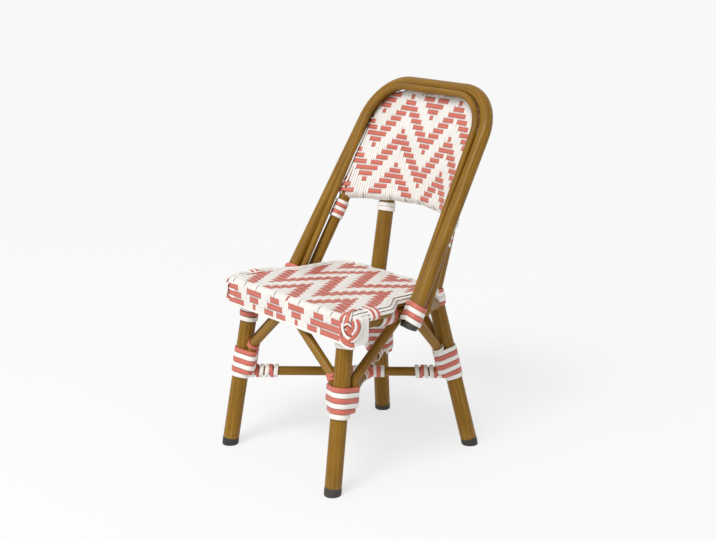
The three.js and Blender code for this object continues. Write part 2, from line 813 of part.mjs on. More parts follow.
// The first white turn dips under the stretcher on the inner side, and all the rest pass over.
function addLegLashings() {
  for (const leg of legs) {
    const { outer } = legFrame(leg);
    const inward = stretcherCrossing().sub(stretcherEnd(leg)).normalize();
    const slope = inward.dot(leg.axis);
    const isUnder = (index, loop) => index === 0 && loop === 0;
    const under = stretcherHeight - legLashingShift - legLashingFoot - strandPitch;
    const over = stretcherHeight + legLashingShift - legLashingFoot - 2 * strandPitch;
    const shiftFor = (index) => (turn, loop) => {
      const shift = isUnder(index, loop) ? under : over + slope * bracedReach;
      return (shift * (1 - Math.cos(turn))) / 2;
    };
    const bundleFor = (index) => (loop) => (isUnder(index, loop) ? legBundle : bracedBundle);
    const start = legLashingFoot / leg.axis.z;
    const winding = { origin: leg.foot, axis: leg.axis, outer, start, steps: legLashingSteps };
    pairedLashing(`leg_lashing_${leg.name}`, winding, legLashingLoops, shiftFor, bundleFor);
  }
}

// Short wraps at the head of each front leg, just under the apron
function addFrontLegWraps() {
  const apronFoot = ringHeight - apronDrop;
  for (const leg of legs.filter((one) => one.isFront)) {
    const { outer } = legFrame(leg);
    const start = (apronFoot - legTopLashingLoops * strandPitch - strandWidth) / leg.axis.z;
    const winding = { origin: leg.foot, axis: leg.axis, outer, radius: legTube / 2, start };
    const name = `leg_wrap_${leg.name}`;
    plainLashing(name, { ...winding, loops: legTopLashingLoops }, white);
  }
}

// The place and direction of a leg's middle, a given way along its route from a height.
function alongLeg(leg, height, way) {
  const route = [atHeight(leg.foot, leg.head, height), ...leg.route.slice(1)];
  let left = way;
  let index = 0;
  while (index < route.length - 2 && left > route[index].distanceTo(route[index + 1])) {
    left -= route[index].distanceTo(route[index + 1]);
    index += 1;
  }
  const axis = route[index + 1].clone().sub(route[index]).normalize();
  return { place: route[index].clone().addScaledVector(axis, left), axis };
}

// A strand round the bend of a rear leg, just above the rails that meet it
function kneeStations(leg) {
  const start = (railTube + strandWidth) / 2 + strandThickness;
  const radius = (legTube / 2 + lashingClearance + strandThickness / 2) / Math.cos(Math.PI / lashingSteps);
  const stations = [];
  for (let i = 0; i <= kneeLashingLoops * lashingSteps; i += 1) {
    const turn = (2 * Math.PI * i) / lashingSteps;
    const { place, axis } = alongLeg(leg, rearRailHeight, start + (strandPitch * i) / lashingSteps);
    const outer = vec(leg.side, 0, 0).projectOnPlane(axis).normalize();
    const across = axis.clone().cross(outer);
    const out = outer.multiplyScalar(Math.cos(turn)).addScaledVector(across, Math.sin(turn));
    stations.push({ centre: place.addScaledVector(out, radius), out, wide: axis });
  }
  return stations;
}

// Wraps above the rails and under the head of each rear leg
function addRearLegWraps() {
  for (const leg of legs.filter((one) => !one.isFront)) {
    const upper = rearHead(leg.side).sub(leg.head);
    const axis = upper.clone().normalize();
    const outer = vec(leg.side, 0, 0).projectOnPlane(axis).normalize();
    const winding = { origin: leg.head, axis, outer, radius: legTube / 2 };
    const word = leg.side < 0 ? "left" : "right";
    strand(`knee_wrap_${word}`, kneeStations(leg), coral);
    const used = lowerBackTube / 2 + sheetWall + strandWidth + strandPitch * rearHeadLashingLoops;
    const start = upper.length() - used;
    plainLashing(`head_wrap_${word}`, { ...winding, start, loops: rearHeadLashingLoops }, white);
  }
}

// Lashings that bind the foot of each hoop stile and its bead
function addHoopLashings() {
  for (const side of [-1, 1]) {
    const origin = onStile(outerLine, side, 0);
    const axis = onStile(outerLine, side, hoopRise).sub(origin).normalize();
    const outer = vec(side, 0, 0).projectOnPlane(axis).normalize();
    const across = axis.clone().cross(outer);
    const bundleFor = (index) => (loop) => {
      const up = hoopLashingFoot + strandPitch * (index + 2 * loop + 1);
      const bead = onStile(beadLine, side, up).sub(origin);
      return [
        { x: 0, y: 0, radius: hoopTube / 2 },
        { x: bead.dot(outer), y: bead.dot(across), radius: beadRod / 2 },
      ];
    };
    const winding = { origin, axis, outer, start: hoopLashingFoot, steps: legLashingSteps };
    const name = `hoop_lashing_${side < 0 ? "left" : "right"}`;
    pairedLashing(name, winding, hoopLashingLoops, () => () => 0, bundleFor);
  }
}

// Wraps on the inner hoop, just under the woven panel
function addInnerHoopWraps() {
  const foot = panelFoot - backSheetRadius - strandWidth - innerHoopLashingLoops * strandPitch;
  for (const side of [-1, 1]) {
    const origin = onStile(innerLine, side, foot);
    const axis = onStile(innerLine, side, panelFoot).sub(origin).normalize();
    const outer = vec(side, 0, 0).projectOnPlane(axis).normalize();
    const winding = { origin, axis, outer, radius: innerHoopTube / 2, start: 0 };
    const name = `inner_hoop_wrap_${side < 0 ? "left" : "right"}`;
    plainLashing(name, { ...winding, loops: innerHoopLashingLoops }, coral);
  }
}

// Wraps at the four ends of the stretchers, and two open rings over their crossing
function addStretcherWraps() {
  const crossing = stretcherCrossing();
  for (const leg of legs) {
    const origin = stretcherEnd(leg);
    const axis = crossing.clone().sub(origin).normalize();
    const start = bracedReach + strandWidth + strandThickness;
    const winding = { origin, axis, outer: vec(0, 0, 1), radius: stretcherTube / 2, start };
    const name = `stretcher_wrap_${leg.name}`;
    plainLashing(name, { ...winding, loops: stretcherLashingLoops }, coral);
  }
  const arm = stretcherEnd(legNamed("front_right")).sub(crossing);
  const ringSeat = lashingClearance + strandThickness / 2;
  const openHalf = Math.atan2(Math.abs(arm.y), Math.abs(arm.x));
  const notch = (half) =>
    (strandWidth / 2 + stretcherTube / 2 / Math.cos(half)) / Math.tan(half) + ringSeat;
  const height = stretcherTube / 2 + ringSeat;
  const rings = [
    ["coral", coral, vec(1, 0, 0), notch(openHalf), height],
    ["white", white, vec(0, 1, 0), notch(Math.PI / 2 - openHalf), height + lashingBuild],
  ];
  for (const [word, material, direction, half, rise] of rings) {
    const stations = [];
    for (let i = 0; i <= lashingSteps; i += 1) {
      const turn = Math.PI * (2 * (i / lashingSteps) * crossRingShare - crossRingShare - 0.5);
      const flat = direction.clone().multiplyScalar(Math.cos(turn));
      const out = flat.clone().add(vec(0, 0, Math.sin(turn)));
      const centre = crossing.clone().addScaledVector(flat, half).add(vec(0, 0, rise * Math.sin(turn)));
      stations.push({ centre, out, wide: vec(direction.y, direction.x, 0) });
    }
    strand(`crossing_wrap_${word}`, stations, material);
  }
}

addLegs();
addFootCaps();
addRails();
addStretchers();
addBraces();
addSeat();
addHoops();
addWovenBack();
addHoopPlugs();
addLegLashings();
addFrontLegWraps();
addRearLegWraps();
addHoopLashings();
addInnerHoopWraps();
addStretcherWraps();

// Puts the origin on the floor under the middle of the finished chair.
const middle = new THREE.Box3().setFromObject(chair).getCenter(vec(0, 0, 0));
for (const mesh of chair.children) {
  mesh.geometry.translate(-middle.x, -middle.y, 0);
}

export default chair;
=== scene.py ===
import math

import bmesh
import bpy
import numpy as np
from mathutils import Matrix, Quaternion, Vector


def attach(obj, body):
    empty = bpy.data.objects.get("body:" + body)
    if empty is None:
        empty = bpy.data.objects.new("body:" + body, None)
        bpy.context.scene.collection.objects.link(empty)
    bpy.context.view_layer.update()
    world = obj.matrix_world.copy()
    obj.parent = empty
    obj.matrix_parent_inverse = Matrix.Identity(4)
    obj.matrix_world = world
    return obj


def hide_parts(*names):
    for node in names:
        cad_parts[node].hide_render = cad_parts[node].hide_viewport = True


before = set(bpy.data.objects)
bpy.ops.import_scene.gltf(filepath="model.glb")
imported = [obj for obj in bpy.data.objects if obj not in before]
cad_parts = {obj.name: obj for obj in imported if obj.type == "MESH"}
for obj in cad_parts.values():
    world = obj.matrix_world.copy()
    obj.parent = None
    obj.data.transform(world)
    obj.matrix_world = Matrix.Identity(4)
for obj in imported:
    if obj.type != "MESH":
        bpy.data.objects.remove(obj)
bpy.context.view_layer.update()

scene = bpy.context.scene
print("stage: frame loaded")

# All measures are millimetres in the frame that the chair was drawn in. A finished piece is
# moved by -middleY and scaled to metres in one go.
chair = {
    "middleY": 10.388,
    "legTube": 28, "railTube": 22, "ringTube": 14, "hoopTube": 22, "innerHoopTube": 20,
    "beadRod": 11.5, "lowerBackTube": 20, "frontRailTube": 16, "braceTube": 16, "stretcherTube": 16,
    "railHeight": 270.5, "rearRailHeight": 256, "kneeHeight": 278, "frontRailHeight": 262,
    "stretcherHeight": 133, "hoopFootHeight": 263.7, "tubeFrom": 12,
    "frontFoot": (147, -164), "frontHead": (131, -122), "rearFoot": (120, 164), "knee": (74.7, 113.2),
    "rearHeadHalf": 85, "rearHeadBehind": 17.5, "kneeBend": 50,
    "ringHeight": 288.8, "legHeadHeight": 279.5, "sideRailHalf": 129.1, "sideRailAlong": (-75, 40), "sideRailBend": 40,
    "frontRailAt": -139.7, "frontRailHalf": 108, "frontRailBend": 20,
}
sideOf = {"left": -1, "right": 1}


def vec(x, y, z):
    return Vector((x, y, z))


def mix(a, b, share):
    return a + (b - a) * share


def clamp(value, low=0.0, high=1.0):
    return max(low, min(high, value))


def atHeight(start, end, height):
    return start.lerp(end, (height - start.z) / (end.z - start.z))


def sideways(hand, axis):
    # the way out to one side, square to an axis
    outer = vec(hand, 0, 0)
    return (outer - axis * outer.dot(axis)).normalized()


# nodes

def addNode(tree, kind, **settings):
    node = tree.nodes.new(kind)
    for name, value in settings.items():
        setattr(node, name, value)
    return node


def plug(tree, socket, value):
    if isinstance(value, bpy.types.NodeSocket):
        tree.links.new(value, socket)
    elif value is not None:
        socket.default_value = value


def newGroup(name, inputs, outputs):
    group = bpy.data.node_groups.new(name, "ShaderNodeTree")
    for label, kind, default in inputs:
        socket = group.interface.new_socket(name=label, in_out="INPUT", socket_type=kind)
        if default is not None:
            socket.default_value = default
    for label, kind in outputs:
        group.interface.new_socket(name=label, in_out="OUTPUT", socket_type=kind)
    return group, addNode(group, "NodeGroupInput"), addNode(group, "NodeGroupOutput")


def layOut(last):
    # columns of nodes, by their distance from the last one
    columns = {last: 0}
    waiting = [last]
    while waiting:
        node = waiting.pop()
        for link in [link for socket in node.inputs for link in socket.links]:
            if columns.get(link.from_node, -1) <= columns[node]:
                columns[link.from_node] = columns[node] + 1
                waiting.append(link.from_node)
    rows = {}
    for node, column in columns.items():
        node.location = (-260 * column, -220 * rows.get(column, 0))
        rows[column] = rows.get(column, 0) + 1


def calc(tree, operation, first, second=None, clampIt=False):
    node = addNode(tree, "ShaderNodeMath", operation=operation, use_clamp=clampIt)
    plug(tree, node.inputs[0], first)
    plug(tree, node.inputs[1], second)
    return node.outputs[0]


def blendColour(tree, share, first, second):
    node = addNode(tree, "ShaderNodeMix", data_type="RGBA")
    for index, item in ((0, share), (6, first), (7, second)):
        plug(tree, node.inputs[index], item)
    return node.outputs[2]


def mapRange(tree, value, low, high, outLow=0.0, outHigh=1.0):
    node = addNode(tree, "ShaderNodeMapRange")
    for index, item in enumerate((value, low, high, outLow, outHigh)):
        plug(tree, node.inputs[index], item)
    return node.outputs[0]


def noiseOn(tree, vector, scale, detail=3.0, roughness=0.5):
    node = addNode(tree, "ShaderNodeTexNoise")
    for name, item in (("Vector", vector), ("Scale", scale), ("Detail", detail), ("Roughness", roughness)):
        plug(tree, node.inputs[name], item)
    return node.outputs["Fac"]


def bumpOn(tree, height, strength, distance):
    node = addNode(tree, "ShaderNodeBump")
    plug(tree, node.inputs["Height"], height)
    plug(tree, node.inputs["Strength"], strength)
    plug(tree, node.inputs["Distance"], distance)
    return node.outputs[0]


def sRgb(red, green, blue):
    shares = [c / 255 for c in (red, green, blue)]
    return tuple(s / 12.92 if s <= 0.04045 else ((s + 0.055) / 1.055) ** 2.4 for s in shares) + (1.0,)


# node groups that more than one material uses

def buildLengthGrain():
    group, source, sink = newGroup(
        "lengthGrain",
        [("Vector", "NodeSocketVector", None), ("Across", "NodeSocketFloat", 0.5),
         ("Along", "NodeSocketFloat", 0.02), ("Bias", "NodeSocketFloat", 0.5)],
        [("Streaks", "NodeSocketFloat"), ("Fine", "NodeSocketFloat")])
    split = addNode(group, "ShaderNodeSeparateXYZ")
    plug(group, split.inputs[0], source.outputs["Vector"])
    joined = addNode(group, "ShaderNodeCombineXYZ")
    for index, way in enumerate(("Across", "Across", "Along")):
        plug(group, joined.inputs[index], calc(group, "MULTIPLY", split.outputs[index], source.outputs[way]))
    broad = noiseOn(group, joined.outputs[0], 1.0, 4.0, 0.6)
    fine = noiseOn(group, joined.outputs[0], 5.5, 2.0, 0.5)
    lifted = calc(group, "MULTIPLY_ADD", calc(group, "SUBTRACT", broad, 0.5), 1.9)
    lifted.node.inputs[2].default_value = 0.5
    biased = calc(group, "ADD", lifted, calc(group, "SUBTRACT", source.outputs["Bias"], 0.5), True)
    plug(group, sink.inputs["Streaks"], biased)
    plug(group, sink.inputs["Fine"], fine)
    layOut(sink)
    return group


def buildHandledSurface():
    # broad cloudiness and faint specks, the same on every finish of the chair
    group, source, sink = newGroup(
        "handledSurface",
        [("Vector", "NodeSocketVector", None), ("Color", "NodeSocketColor", (0.5, 0.5, 0.5, 1)),
         ("Soil", "NodeSocketColor", (0.2, 0.17, 0.13, 1)), ("Amount", "NodeSocketFloat", 0.1)],
        [("Color", "NodeSocketColor"), ("Mask", "NodeSocketFloat")])
    cloud = noiseOn(group, source.outputs["Vector"], 14.0, 5.0, 0.55)
    speck = noiseOn(group, source.outputs["Vector"], 420.0, 2.0, 0.5)
    both = calc(group, "MAXIMUM", mapRange(group, cloud, 0.42, 0.72), mapRange(group, speck, 0.66, 0.74, 0.0, 0.5))
    mask = calc(group, "MULTIPLY", both, source.outputs["Amount"], True)
    plug(group, sink.inputs["Color"], blendColour(group, mask, source.outputs["Color"], source.outputs["Soil"]))
    plug(group, sink.inputs["Mask"], mask)
    layOut(sink)
    return group


def buildWearAndCreaseShade():
    # where a surface turns sharply it is rubbed, and where it is tucked in it gets painted shade
    group, source, sink = newGroup(
        "wearAndCreaseShade",
        [("Vector", "NodeSocketVector", None), ("Low", "NodeSocketFloat", 0.52), ("High", "NodeSocketFloat", 0.6)],
        [("Edge", "NodeSocketFloat"), ("Tuck", "NodeSocketFloat")])
    turned = addNode(group, "ShaderNodeNewGeometry").outputs["Pointiness"]
    edge = mapRange(group, turned, source.outputs["Low"], source.outputs["High"])
    broken = mapRange(group, noiseOn(group, source.outputs["Vector"], 90.0), 0.4, 0.6)
    plug(group, sink.inputs["Edge"], calc(group, "MULTIPLY", edge, broken))
    # painted shade: a mask that is high where the surface is tucked in
    plug(group, sink.inputs["Tuck"], mapRange(group, turned, 0.5, 0.42))
    layOut(sink)
    return group


lengthGrain = buildLengthGrain()
handledSurface = buildHandledSurface()
wearAndCreaseShade = buildWearAndCreaseShade()


def useGroup(tree, group, **values):
    node = addNode(tree, "ShaderNodeGroup", node_tree=group)
    for name, value in values.items():
        plug(tree, node.inputs[name], value)
    return node


def newMaterial(name):
    material = bpy.data.materials.new(name)
    material.use_nodes = True
    tree = material.node_tree
    return material, tree, tree.nodes["Principled BSDF"], addNode(tree, "ShaderNodeTexCoord").outputs["Object"]


def straightOf(tree):
    # a tube's or strand's own straight coordinate, in millimetres: two across it and one along
    return addNode(tree, "ShaderNodeAttribute", attribute_name="straight").outputs["Vector"]


def finishSurface(tree, shader, place, look, colour, amount, rub, rough, height, bump):
    # soil, rubbed edges and painted shade in tucked places, the same way for all finishes
    handled = useGroup(tree, handledSurface, Vector=place, Color=colour, Soil=look["soil"], Amount=amount)
    handled = handled.outputs["Color"]
    wearAndShade = useGroup(tree, wearAndCreaseShade, Vector=place, Low=rub["low"], High=rub["high"])
    if rub["edge"]:
        handled = blendColour(tree, calc(tree, "MULTIPLY", wearAndShade.outputs["Edge"], rub["edge"]), handled, look["worn"])
    # painted shade: tucked-in places are blended towards the soil colour
    if rub["tuck"]:
        handled = blendColour(tree, calc(tree, "MULTIPLY", wearAndShade.outputs["Tuck"], rub["tuck"]), handled, look["soil"])
    plug(tree, shader.inputs["Base Color"], handled)
    plug(tree, shader.inputs["Roughness"], rough)
    plug(tree, shader.inputs["Normal"], bumpOn(tree, height, *bump))
    layOut(tree.nodes["Material Output"])


# materials

caneLook = {
    "light": sRgb(172, 130, 50), "middle": sRgb(138, 98, 18), "dark": sRgb(98, 65, 10),
    "soil": sRgb(80, 53, 20), "worn": sRgb(192, 160, 96), "across": 0.75, "along": 0.01,
    # tuck sets how much painted shade falls in tucked-in places; edge is the rubbed wear
    "rub": {"low": 0.54, "high": 0.62, "edge": 0.35, "tuck": 0.5},
}


def buildCane(name, warmth):
    material, tree, shader, place = newMaterial(name)
    grain = useGroup(tree, lengthGrain, Vector=straightOf(tree), Across=caneLook["across"], Along=caneLook["along"],
                     Bias=0.5 + warmth).outputs
    ramp = addNode(tree, "ShaderNodeValToRGB")
    plug(tree, ramp.inputs[0], grain["Streaks"])
    ends = ramp.color_ramp.elements
    ends[0].color, ends[1].color = caneLook["dark"], caneLook["light"]
    ends[0].position, ends[1].position = 0.02, 0.98
    ends.new(0.46).color = caneLook["middle"]
    streaked = blendColour(tree, mapRange(tree, grain["Fine"], 0.5, 0.68, 0.0, 0.3), ramp.outputs[0], caneLook["dark"])
    shader.inputs["Specular IOR Level"].default_value = 0.16
    shader.inputs["Coat Weight"].default_value = 0.14
    shader.inputs["Coat Roughness"].default_value = 0.22
    rough = mapRange(tree, grain["Fine"], 0.3, 0.7, 0.34, 0.52)
    fine, broad = calc(tree, "MULTIPLY", grain["Fine"], 0.6), calc(tree, "MULTIPLY", grain["Streaks"], 0.4)
    height = calc(tree, "ADD", fine, broad)
    finishSurface(tree, shader, place, caneLook, streaked, 0.28, caneLook["rub"], rough, height, (0.22, 0.0004))
    return material


strandLook = {
    "coral": {
        "colour": sRgb(204, 101, 84), "pale": sRgb(219, 134, 116), "deep": sRgb(170, 72, 58), "soil": sRgb(132, 64, 50),
    },
    "white": {
        "colour": sRgb(246, 243, 237), "pale": sRgb(252, 251, 248), "deep": sRgb(206, 197, 184),
        "soil": sRgb(180, 167, 150),
    },
    # tuck sets how much painted shade falls in tucked-in places between strands
    "grooves": 2.7, "rub": {"low": 0.53, "high": 0.62, "edge": 0, "tuck": 0.35},
}


def buildStrand(name, look, wide):
    # extruded plastic strand: fine grooves along it, a soft sheen, and painted shade in the grooves and towards both
    # edges
    material, tree, shader, place = newMaterial(name)
    straight = straightOf(tree)
    split = addNode(tree, "ShaderNodeSeparateXYZ")
    plug(tree, split.inputs[0], straight)
    across = split.outputs[0]
    groove = mapRange(tree, calc(tree, "SINE", calc(tree, "MULTIPLY", across, strandLook["grooves"])), -1.0, 1.0)
    grain = useGroup(tree, lengthGrain, Vector=straight, Across=0.9, Along=0.03, Bias=0.5).outputs
    # painted shade: a mask that rises towards both edges of the strand, where neighbouring strands meet
    edge = mapRange(tree, calc(tree, "ABSOLUTE", across), wide * 0.36, wide * 0.52)
    colour = blendColour(tree, calc(tree, "MULTIPLY", grain["Streaks"], 0.55), look["colour"], look["pale"])
    # painted shade: the colour darkens along the grooves and at the edges
    colour = blendColour(tree, calc(tree, "MULTIPLY", calc(tree, "SUBTRACT", 1.0, groove), 0.22), colour, look["deep"])
    colour = blendColour(tree, calc(tree, "MULTIPLY", edge, 0.65), colour, look["deep"])
    shader.inputs["Specular IOR Level"].default_value = 0.45
    shader.inputs["Sheen Weight"].default_value = 0.08
    rough = mapRange(tree, grain["Fine"], 0.3, 0.7, 0.34, 0.5)
    height = calc(tree, "ADD", groove, calc(tree, "MULTIPLY", grain["Fine"], 0.5))
    finishSurface(tree, shader, place, look, colour, 0.14, strandLook["rub"], rough, height, (0.35, 0.0003))
    return material


rubberLook = {
    "colour": sRgb(38, 37, 34), "soil": sRgb(92, 88, 80), "worn": sRgb(74, 71, 66),
    "rub": {"low": 0.52, "high": 0.6, "edge": 0.5, "tuck": 0},
}


def buildRubber():
    material, tree, shader, place = newMaterial("blackRubber")
    pores = noiseOn(tree, place, 900.0, 3.0, 0.6)
    rough = mapRange(tree, pores, 0.3, 0.7, 0.5, 0.72)
    finishSurface(tree, shader, place, rubberLook, rubberLook["colour"], 0.3, rubberLook["rub"], rough, pores,
                  (0.25, 0.0003))
    return material


caneTube = buildCane("caneTube", 0.0)
caneThin = buildCane("caneThin", 0.04)
strands = {word: buildStrand(word + "Strand", strandLook[word], 8.0) for word in ("coral", "white")}
weaveStrands = {
    "coral": buildStrand("coralWeave", strandLook["coral"], 8.4),
    "white": buildStrand("whiteWeave", strandLook["white"], 4.0),
}
blackRubber = buildRubber()
print("stage: materials made")


# routes, in millimetres
longestStep = 60


def bentRoute(corners, bends, stepAngle=5.0):
    # straight runs joined by round bends
    stations = [corners[0].copy()]
    for index, radius in enumerate(bends, 1):
        corner = corners[index]
        before = (corners[index - 1] - corner).normalized()
        after = (corners[index + 1] - corner).normalized()
        half = before.angle(after) / 2
        centre = corner + (before + after).normalized() * (radius / math.sin(half))
        start = corner + before * (radius / math.tan(half)) - centre
        end = corner + after * (radius / math.tan(half)) - centre
        axis = start.cross(end).normalized()
        turn = start.angle(end)
        steps = max(2, math.ceil(math.degrees(turn) / stepAngle))
        for step in range(steps + 1):
            stations.append(Quaternion(axis, turn * step / steps) @ start + centre)
    stations.append(corners[-1].copy())
    return stations


def framesAlong(route):
    # one matrix per station, carried along without twist: x and y across, z forward
    last = len(route) - 1
    tangents = [(route[min(index + 1, last)] - route[max(index - 1, 0)]).normalized() for index in range(last + 1)]
    first = tangents[0]
    across = vec(0, 0, 1) if abs(first.z) < 0.9 else vec(1, 0, 0)
    across = (across - first * across.dot(first)).normalized()
    frames = []
    for index, tangent in enumerate(tangents):
        if index:
            across = tangents[index - 1].rotation_difference(tangent) @ across
            across = (across - tangent * across.dot(tangent)).normalized()
        frames.append(matrixOf(route[index], across, tangent.cross(across), tangent))
    return frames


def matrixOf(place, across, other, forward):
    matrix = Matrix((across, other, forward)).transposed().to_4x4()
    matrix.translation = place
    return matrix


def extrudeRing(bm, ring, layer, step, move):
    # pulls the open ring forward, and counts the length in the straight coordinate
    made = bmesh.ops.extrude_edge_only(bm, edges=ring)["geom"]
    verts = [item for item in made if isinstance(item, bmesh.types.BMVert)]
    fresh = set(verts)
    edges = [item for item in made if isinstance(item, bmesh.types.BMEdge) and fresh.issuperset(item.verts)]
    for vert in verts:
        vert[layer] = vert[layer] + vec(0, 0, step)
    bmesh.ops.transform(bm, matrix=move, space=Matrix(), verts=verts)
    return edges


def edgesOf(verts):
    own = set(verts)
    return [edge for edge in {e for v in verts for e in v.link_edges} if own.issuperset(edge.verts)]


def addTube(bm, route, radius, sides, offset):
    layer = bm.verts.layers.float_vector["straight"]
    frames = framesAlong(route)
    last = frames[0]
    verts = bmesh.ops.create_circle(bm, segments=sides, radius=radius, matrix=last)["verts"]
    for vert in verts:
        local = last.inverted() @ vert.co
        vert[layer] = vec(local.x, local.y, offset)
    firstRing = ring = edgesOf(verts)
    for before, place, matrix in zip(route, route[1:], frames[1:]):
        step = place - before
        pieces = max(1, math.ceil(step.length / longestStep))
        for part in range(1, pieces + 1):
            middle = matrix if part == pieces else Matrix.Translation(step * (part / pieces - 1)) @ matrix
            ring = extrudeRing(bm, ring, layer, step.length / pieces, middle @ last.inverted())
            last = middle
    bmesh.ops.edgeloop_fill(bm, edges=firstRing)
    bmesh.ops.edgeloop_fill(bm, edges=ring)


def addTurned(bm, foot, axis, profile, sides):
    # a plug turned round an axis: pairs of height along it and radius
    layer = bm.verts.layers.float_vector["straight"]
    base = framesAlong([foot, foot + axis])[0]
    rings = [Matrix.Translation(axis * up) @ base @ Matrix.Diagonal((r, r, 1, 1)) for up, r in profile]
    ring = edgesOf(bmesh.ops.create_circle(bm, segments=sides, radius=1.0, matrix=rings[0])["verts"])
    bmesh.ops.edgeloop_fill(bm, edges=ring)
    for last, now in zip(rings, rings[1:]):
        ring = extrudeRing(bm, ring, layer, 1.0, now @ last.inverted())
    bmesh.ops.edgeloop_fill(bm, edges=ring)


def addPiece(name, route, size, sides, material, nodes, offset=0.0, tucked=False):
    bm = newShape()
    addTube(bm, route, size / 2, sides, offset)
    finishPiece(bm, name, material, nodes, tucked=tucked)


def newShape():
    bm = bmesh.new()
    bm.verts.layers.float_vector.new("straight")
    return bm


def finishPiece(bm, name, material, nodes=(), recalc=True, sharp=50, tucked=False):
    if recalc:
        bmesh.ops.recalc_face_normals(bm, faces=bm.faces)
    if tucked:
        for vert in bm.verts:
            tuckSides(vert.co)
    bmesh.ops.translate(bm, vec=vec(0, -chair["middleY"], 0), verts=bm.verts)
    bmesh.ops.scale(bm, vec=vec(0.001, 0.001, 0.001), verts=bm.verts)
    for face in bm.faces:
        face.smooth = True
    mesh = bpy.data.meshes.new(name)
    bm.to_mesh(mesh)
    bm.free()
    mesh.set_sharp_from_angle(angle=math.radians(sharp))
    mesh.materials.append(material)
    piece = bpy.data.objects.new(name, mesh)
    scene.collection.objects.link(piece)
    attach(piece, "root")
    if nodes:
        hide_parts(*nodes)
    return piece


# legs

def legLine(word):
    end, handWord = word.split("_")
    hand = sideOf[handWord]
    if end == "front":
        foot = vec(hand * chair["frontFoot"][0], chair["frontFoot"][1], 0)
        head = vec(hand * chair["frontHead"][0], chair["frontHead"][1], chair["railHeight"])
        return foot, atHeight(foot, head, chair["legHeadHeight"])
    foot = vec(hand * chair["rearFoot"][0], chair["rearFoot"][1], 0)
    return foot, vec(hand * chair["knee"][0], chair["knee"][1], chair["kneeHeight"])


back = {
    "lean": math.radians(30.4), "footHalf": 171.4, "headHalf": 148, "footForward": 21, "rise": 409, "corner": 82,
    "panelFoot": 194, "arch": 8, "bulge": 45, "bulgePower": 1.5, "innerFootUp": 6.8,
    "roll": 12.1, "rollTo": math.pi * 1.72, "rollReach": 62,
    "beadAway": 17.05, "innerAway": 24.9,  # the middles of the two, from the middle of the outer hoop
}
outerLine = {"inset": (0, 0), "depth": (0, 0)}
beadLine = {
    "inset": (math.sqrt(back["beadAway"] ** 2 - 6 ** 2) + 4.8, math.sqrt(back["beadAway"] ** 2 - 13 ** 2) + 2.4),
    "depth": (6, -13),
}
innerLine = {"inset": (13, math.sqrt(back["innerAway"] ** 2 - 14.5 ** 2)), "depth": (31, 14.5)}


def onBack(across, up, behind):
    lean = back["lean"]
    return vec(across, -back["footForward"] + up * math.sin(lean) + behind * math.cos(lean),
               chair["hoopFootHeight"] + up * math.cos(lean) - behind * math.sin(lean))


def halfAt(line, up):
    taper = (back["footHalf"] - back["headHalf"]) / back["rise"]
    return back["footHalf"] - taper * up - mix(*line["inset"], up / back["rise"])


def depthAt(line, up):
    return mix(*line["depth"], up / back["rise"])


def onStile(line, hand, up):
    return onBack(hand * halfAt(line, up), up, depthAt(line, up))


back["panelHead"] = back["rise"] - innerLine["inset"][1]
back["innerHalf"] = halfAt(innerLine, back["panelFoot"])


def bulgeAt(across, up):
    sideShare = 1 - min(1, abs(across) / back["innerHalf"]) ** 2
    footShare = clamp((back["panelHead"] - up) / (back["panelHead"] - back["panelFoot"]))
    return back["bulge"] * sideShare * footShare ** back["bulgePower"]


def panelFootAt(across):
    up = back["panelFoot"] + back["arch"] * (1 - (across / back["innerHalf"]) ** 2)
    return onBack(across, up, depthAt(innerLine, up)) + vec(0, bulgeAt(across, up), 0)


tuck = {"inward": 5.0, "forward": 4.0, "from": 26, "full": 185, "ease": 260, "to": 385}


def smoothShare(value, low, high):
    share = clamp((value - low) / (high - low))
    return share * share * (3 - 2 * share)


def tuckSides(place):
    # half way up, the inner hoop and the panel's sides hide behind the outer hoop
    sine, cosine = math.sin(back["lean"]), math.cos(back["lean"])
    up = (place.y + back["footForward"]) * sine + (place.z - chair["hoopFootHeight"]) * cosine
    share = smoothShare(up, tuck["from"], tuck["full"]) * (1 - smoothShare(up, tuck["ease"], tuck["to"]))
    share *= min(1, abs(place.x) / back["innerHalf"]) ** 4
    place.x -= math.copysign(tuck["inward"] * share, place.x)
    place.y -= tuck["forward"] * share * cosine
    place.z += tuck["forward"] * share * sine


legs = {}
for word in ("front_left", "front_right", "rear_left", "rear_right"):
    foot, head = legLine(word)
    hand = sideOf[word.split("_")[1]]
    axis = (head - foot).normalized()
    start = foot + axis * chair["tubeFrom"]
    if word.startswith("front"):
        route = [start, head]
    else:
        top = panelFootAt(hand * chair["rearHeadHalf"]) + vec(0, chair["rearHeadBehind"], 0)
        route = bentRoute([start, head, top], [chair["kneeBend"]])
    legs[word] = {
        "foot": foot, "head": head, "hand": hand, "axis": axis, "route": route, "front": word.startswith("front"),
    }


def camelName(*words):
    parts = "_".join(words).split("_")
    return parts[0] + "".join(part.capitalize() for part in parts[1:])


def buildLegs():
    for word, leg in legs.items():
        offset = leg["foot"].x * 3
        addPiece(camelName("leg", word), leg["route"], chair["legTube"], 40, caneTube, ["leg_" + word], offset)


footCap = {
    "profile": [(-9, 13.4), (0.5, 13.9), (2.5, 14.25), (10.5, 14.35), (12.2, 14.25), (13.2, 13.7), (13.4, 12.6)],
    "sides": 40, "lip": 0.9, "lipScale": 0.94,
}


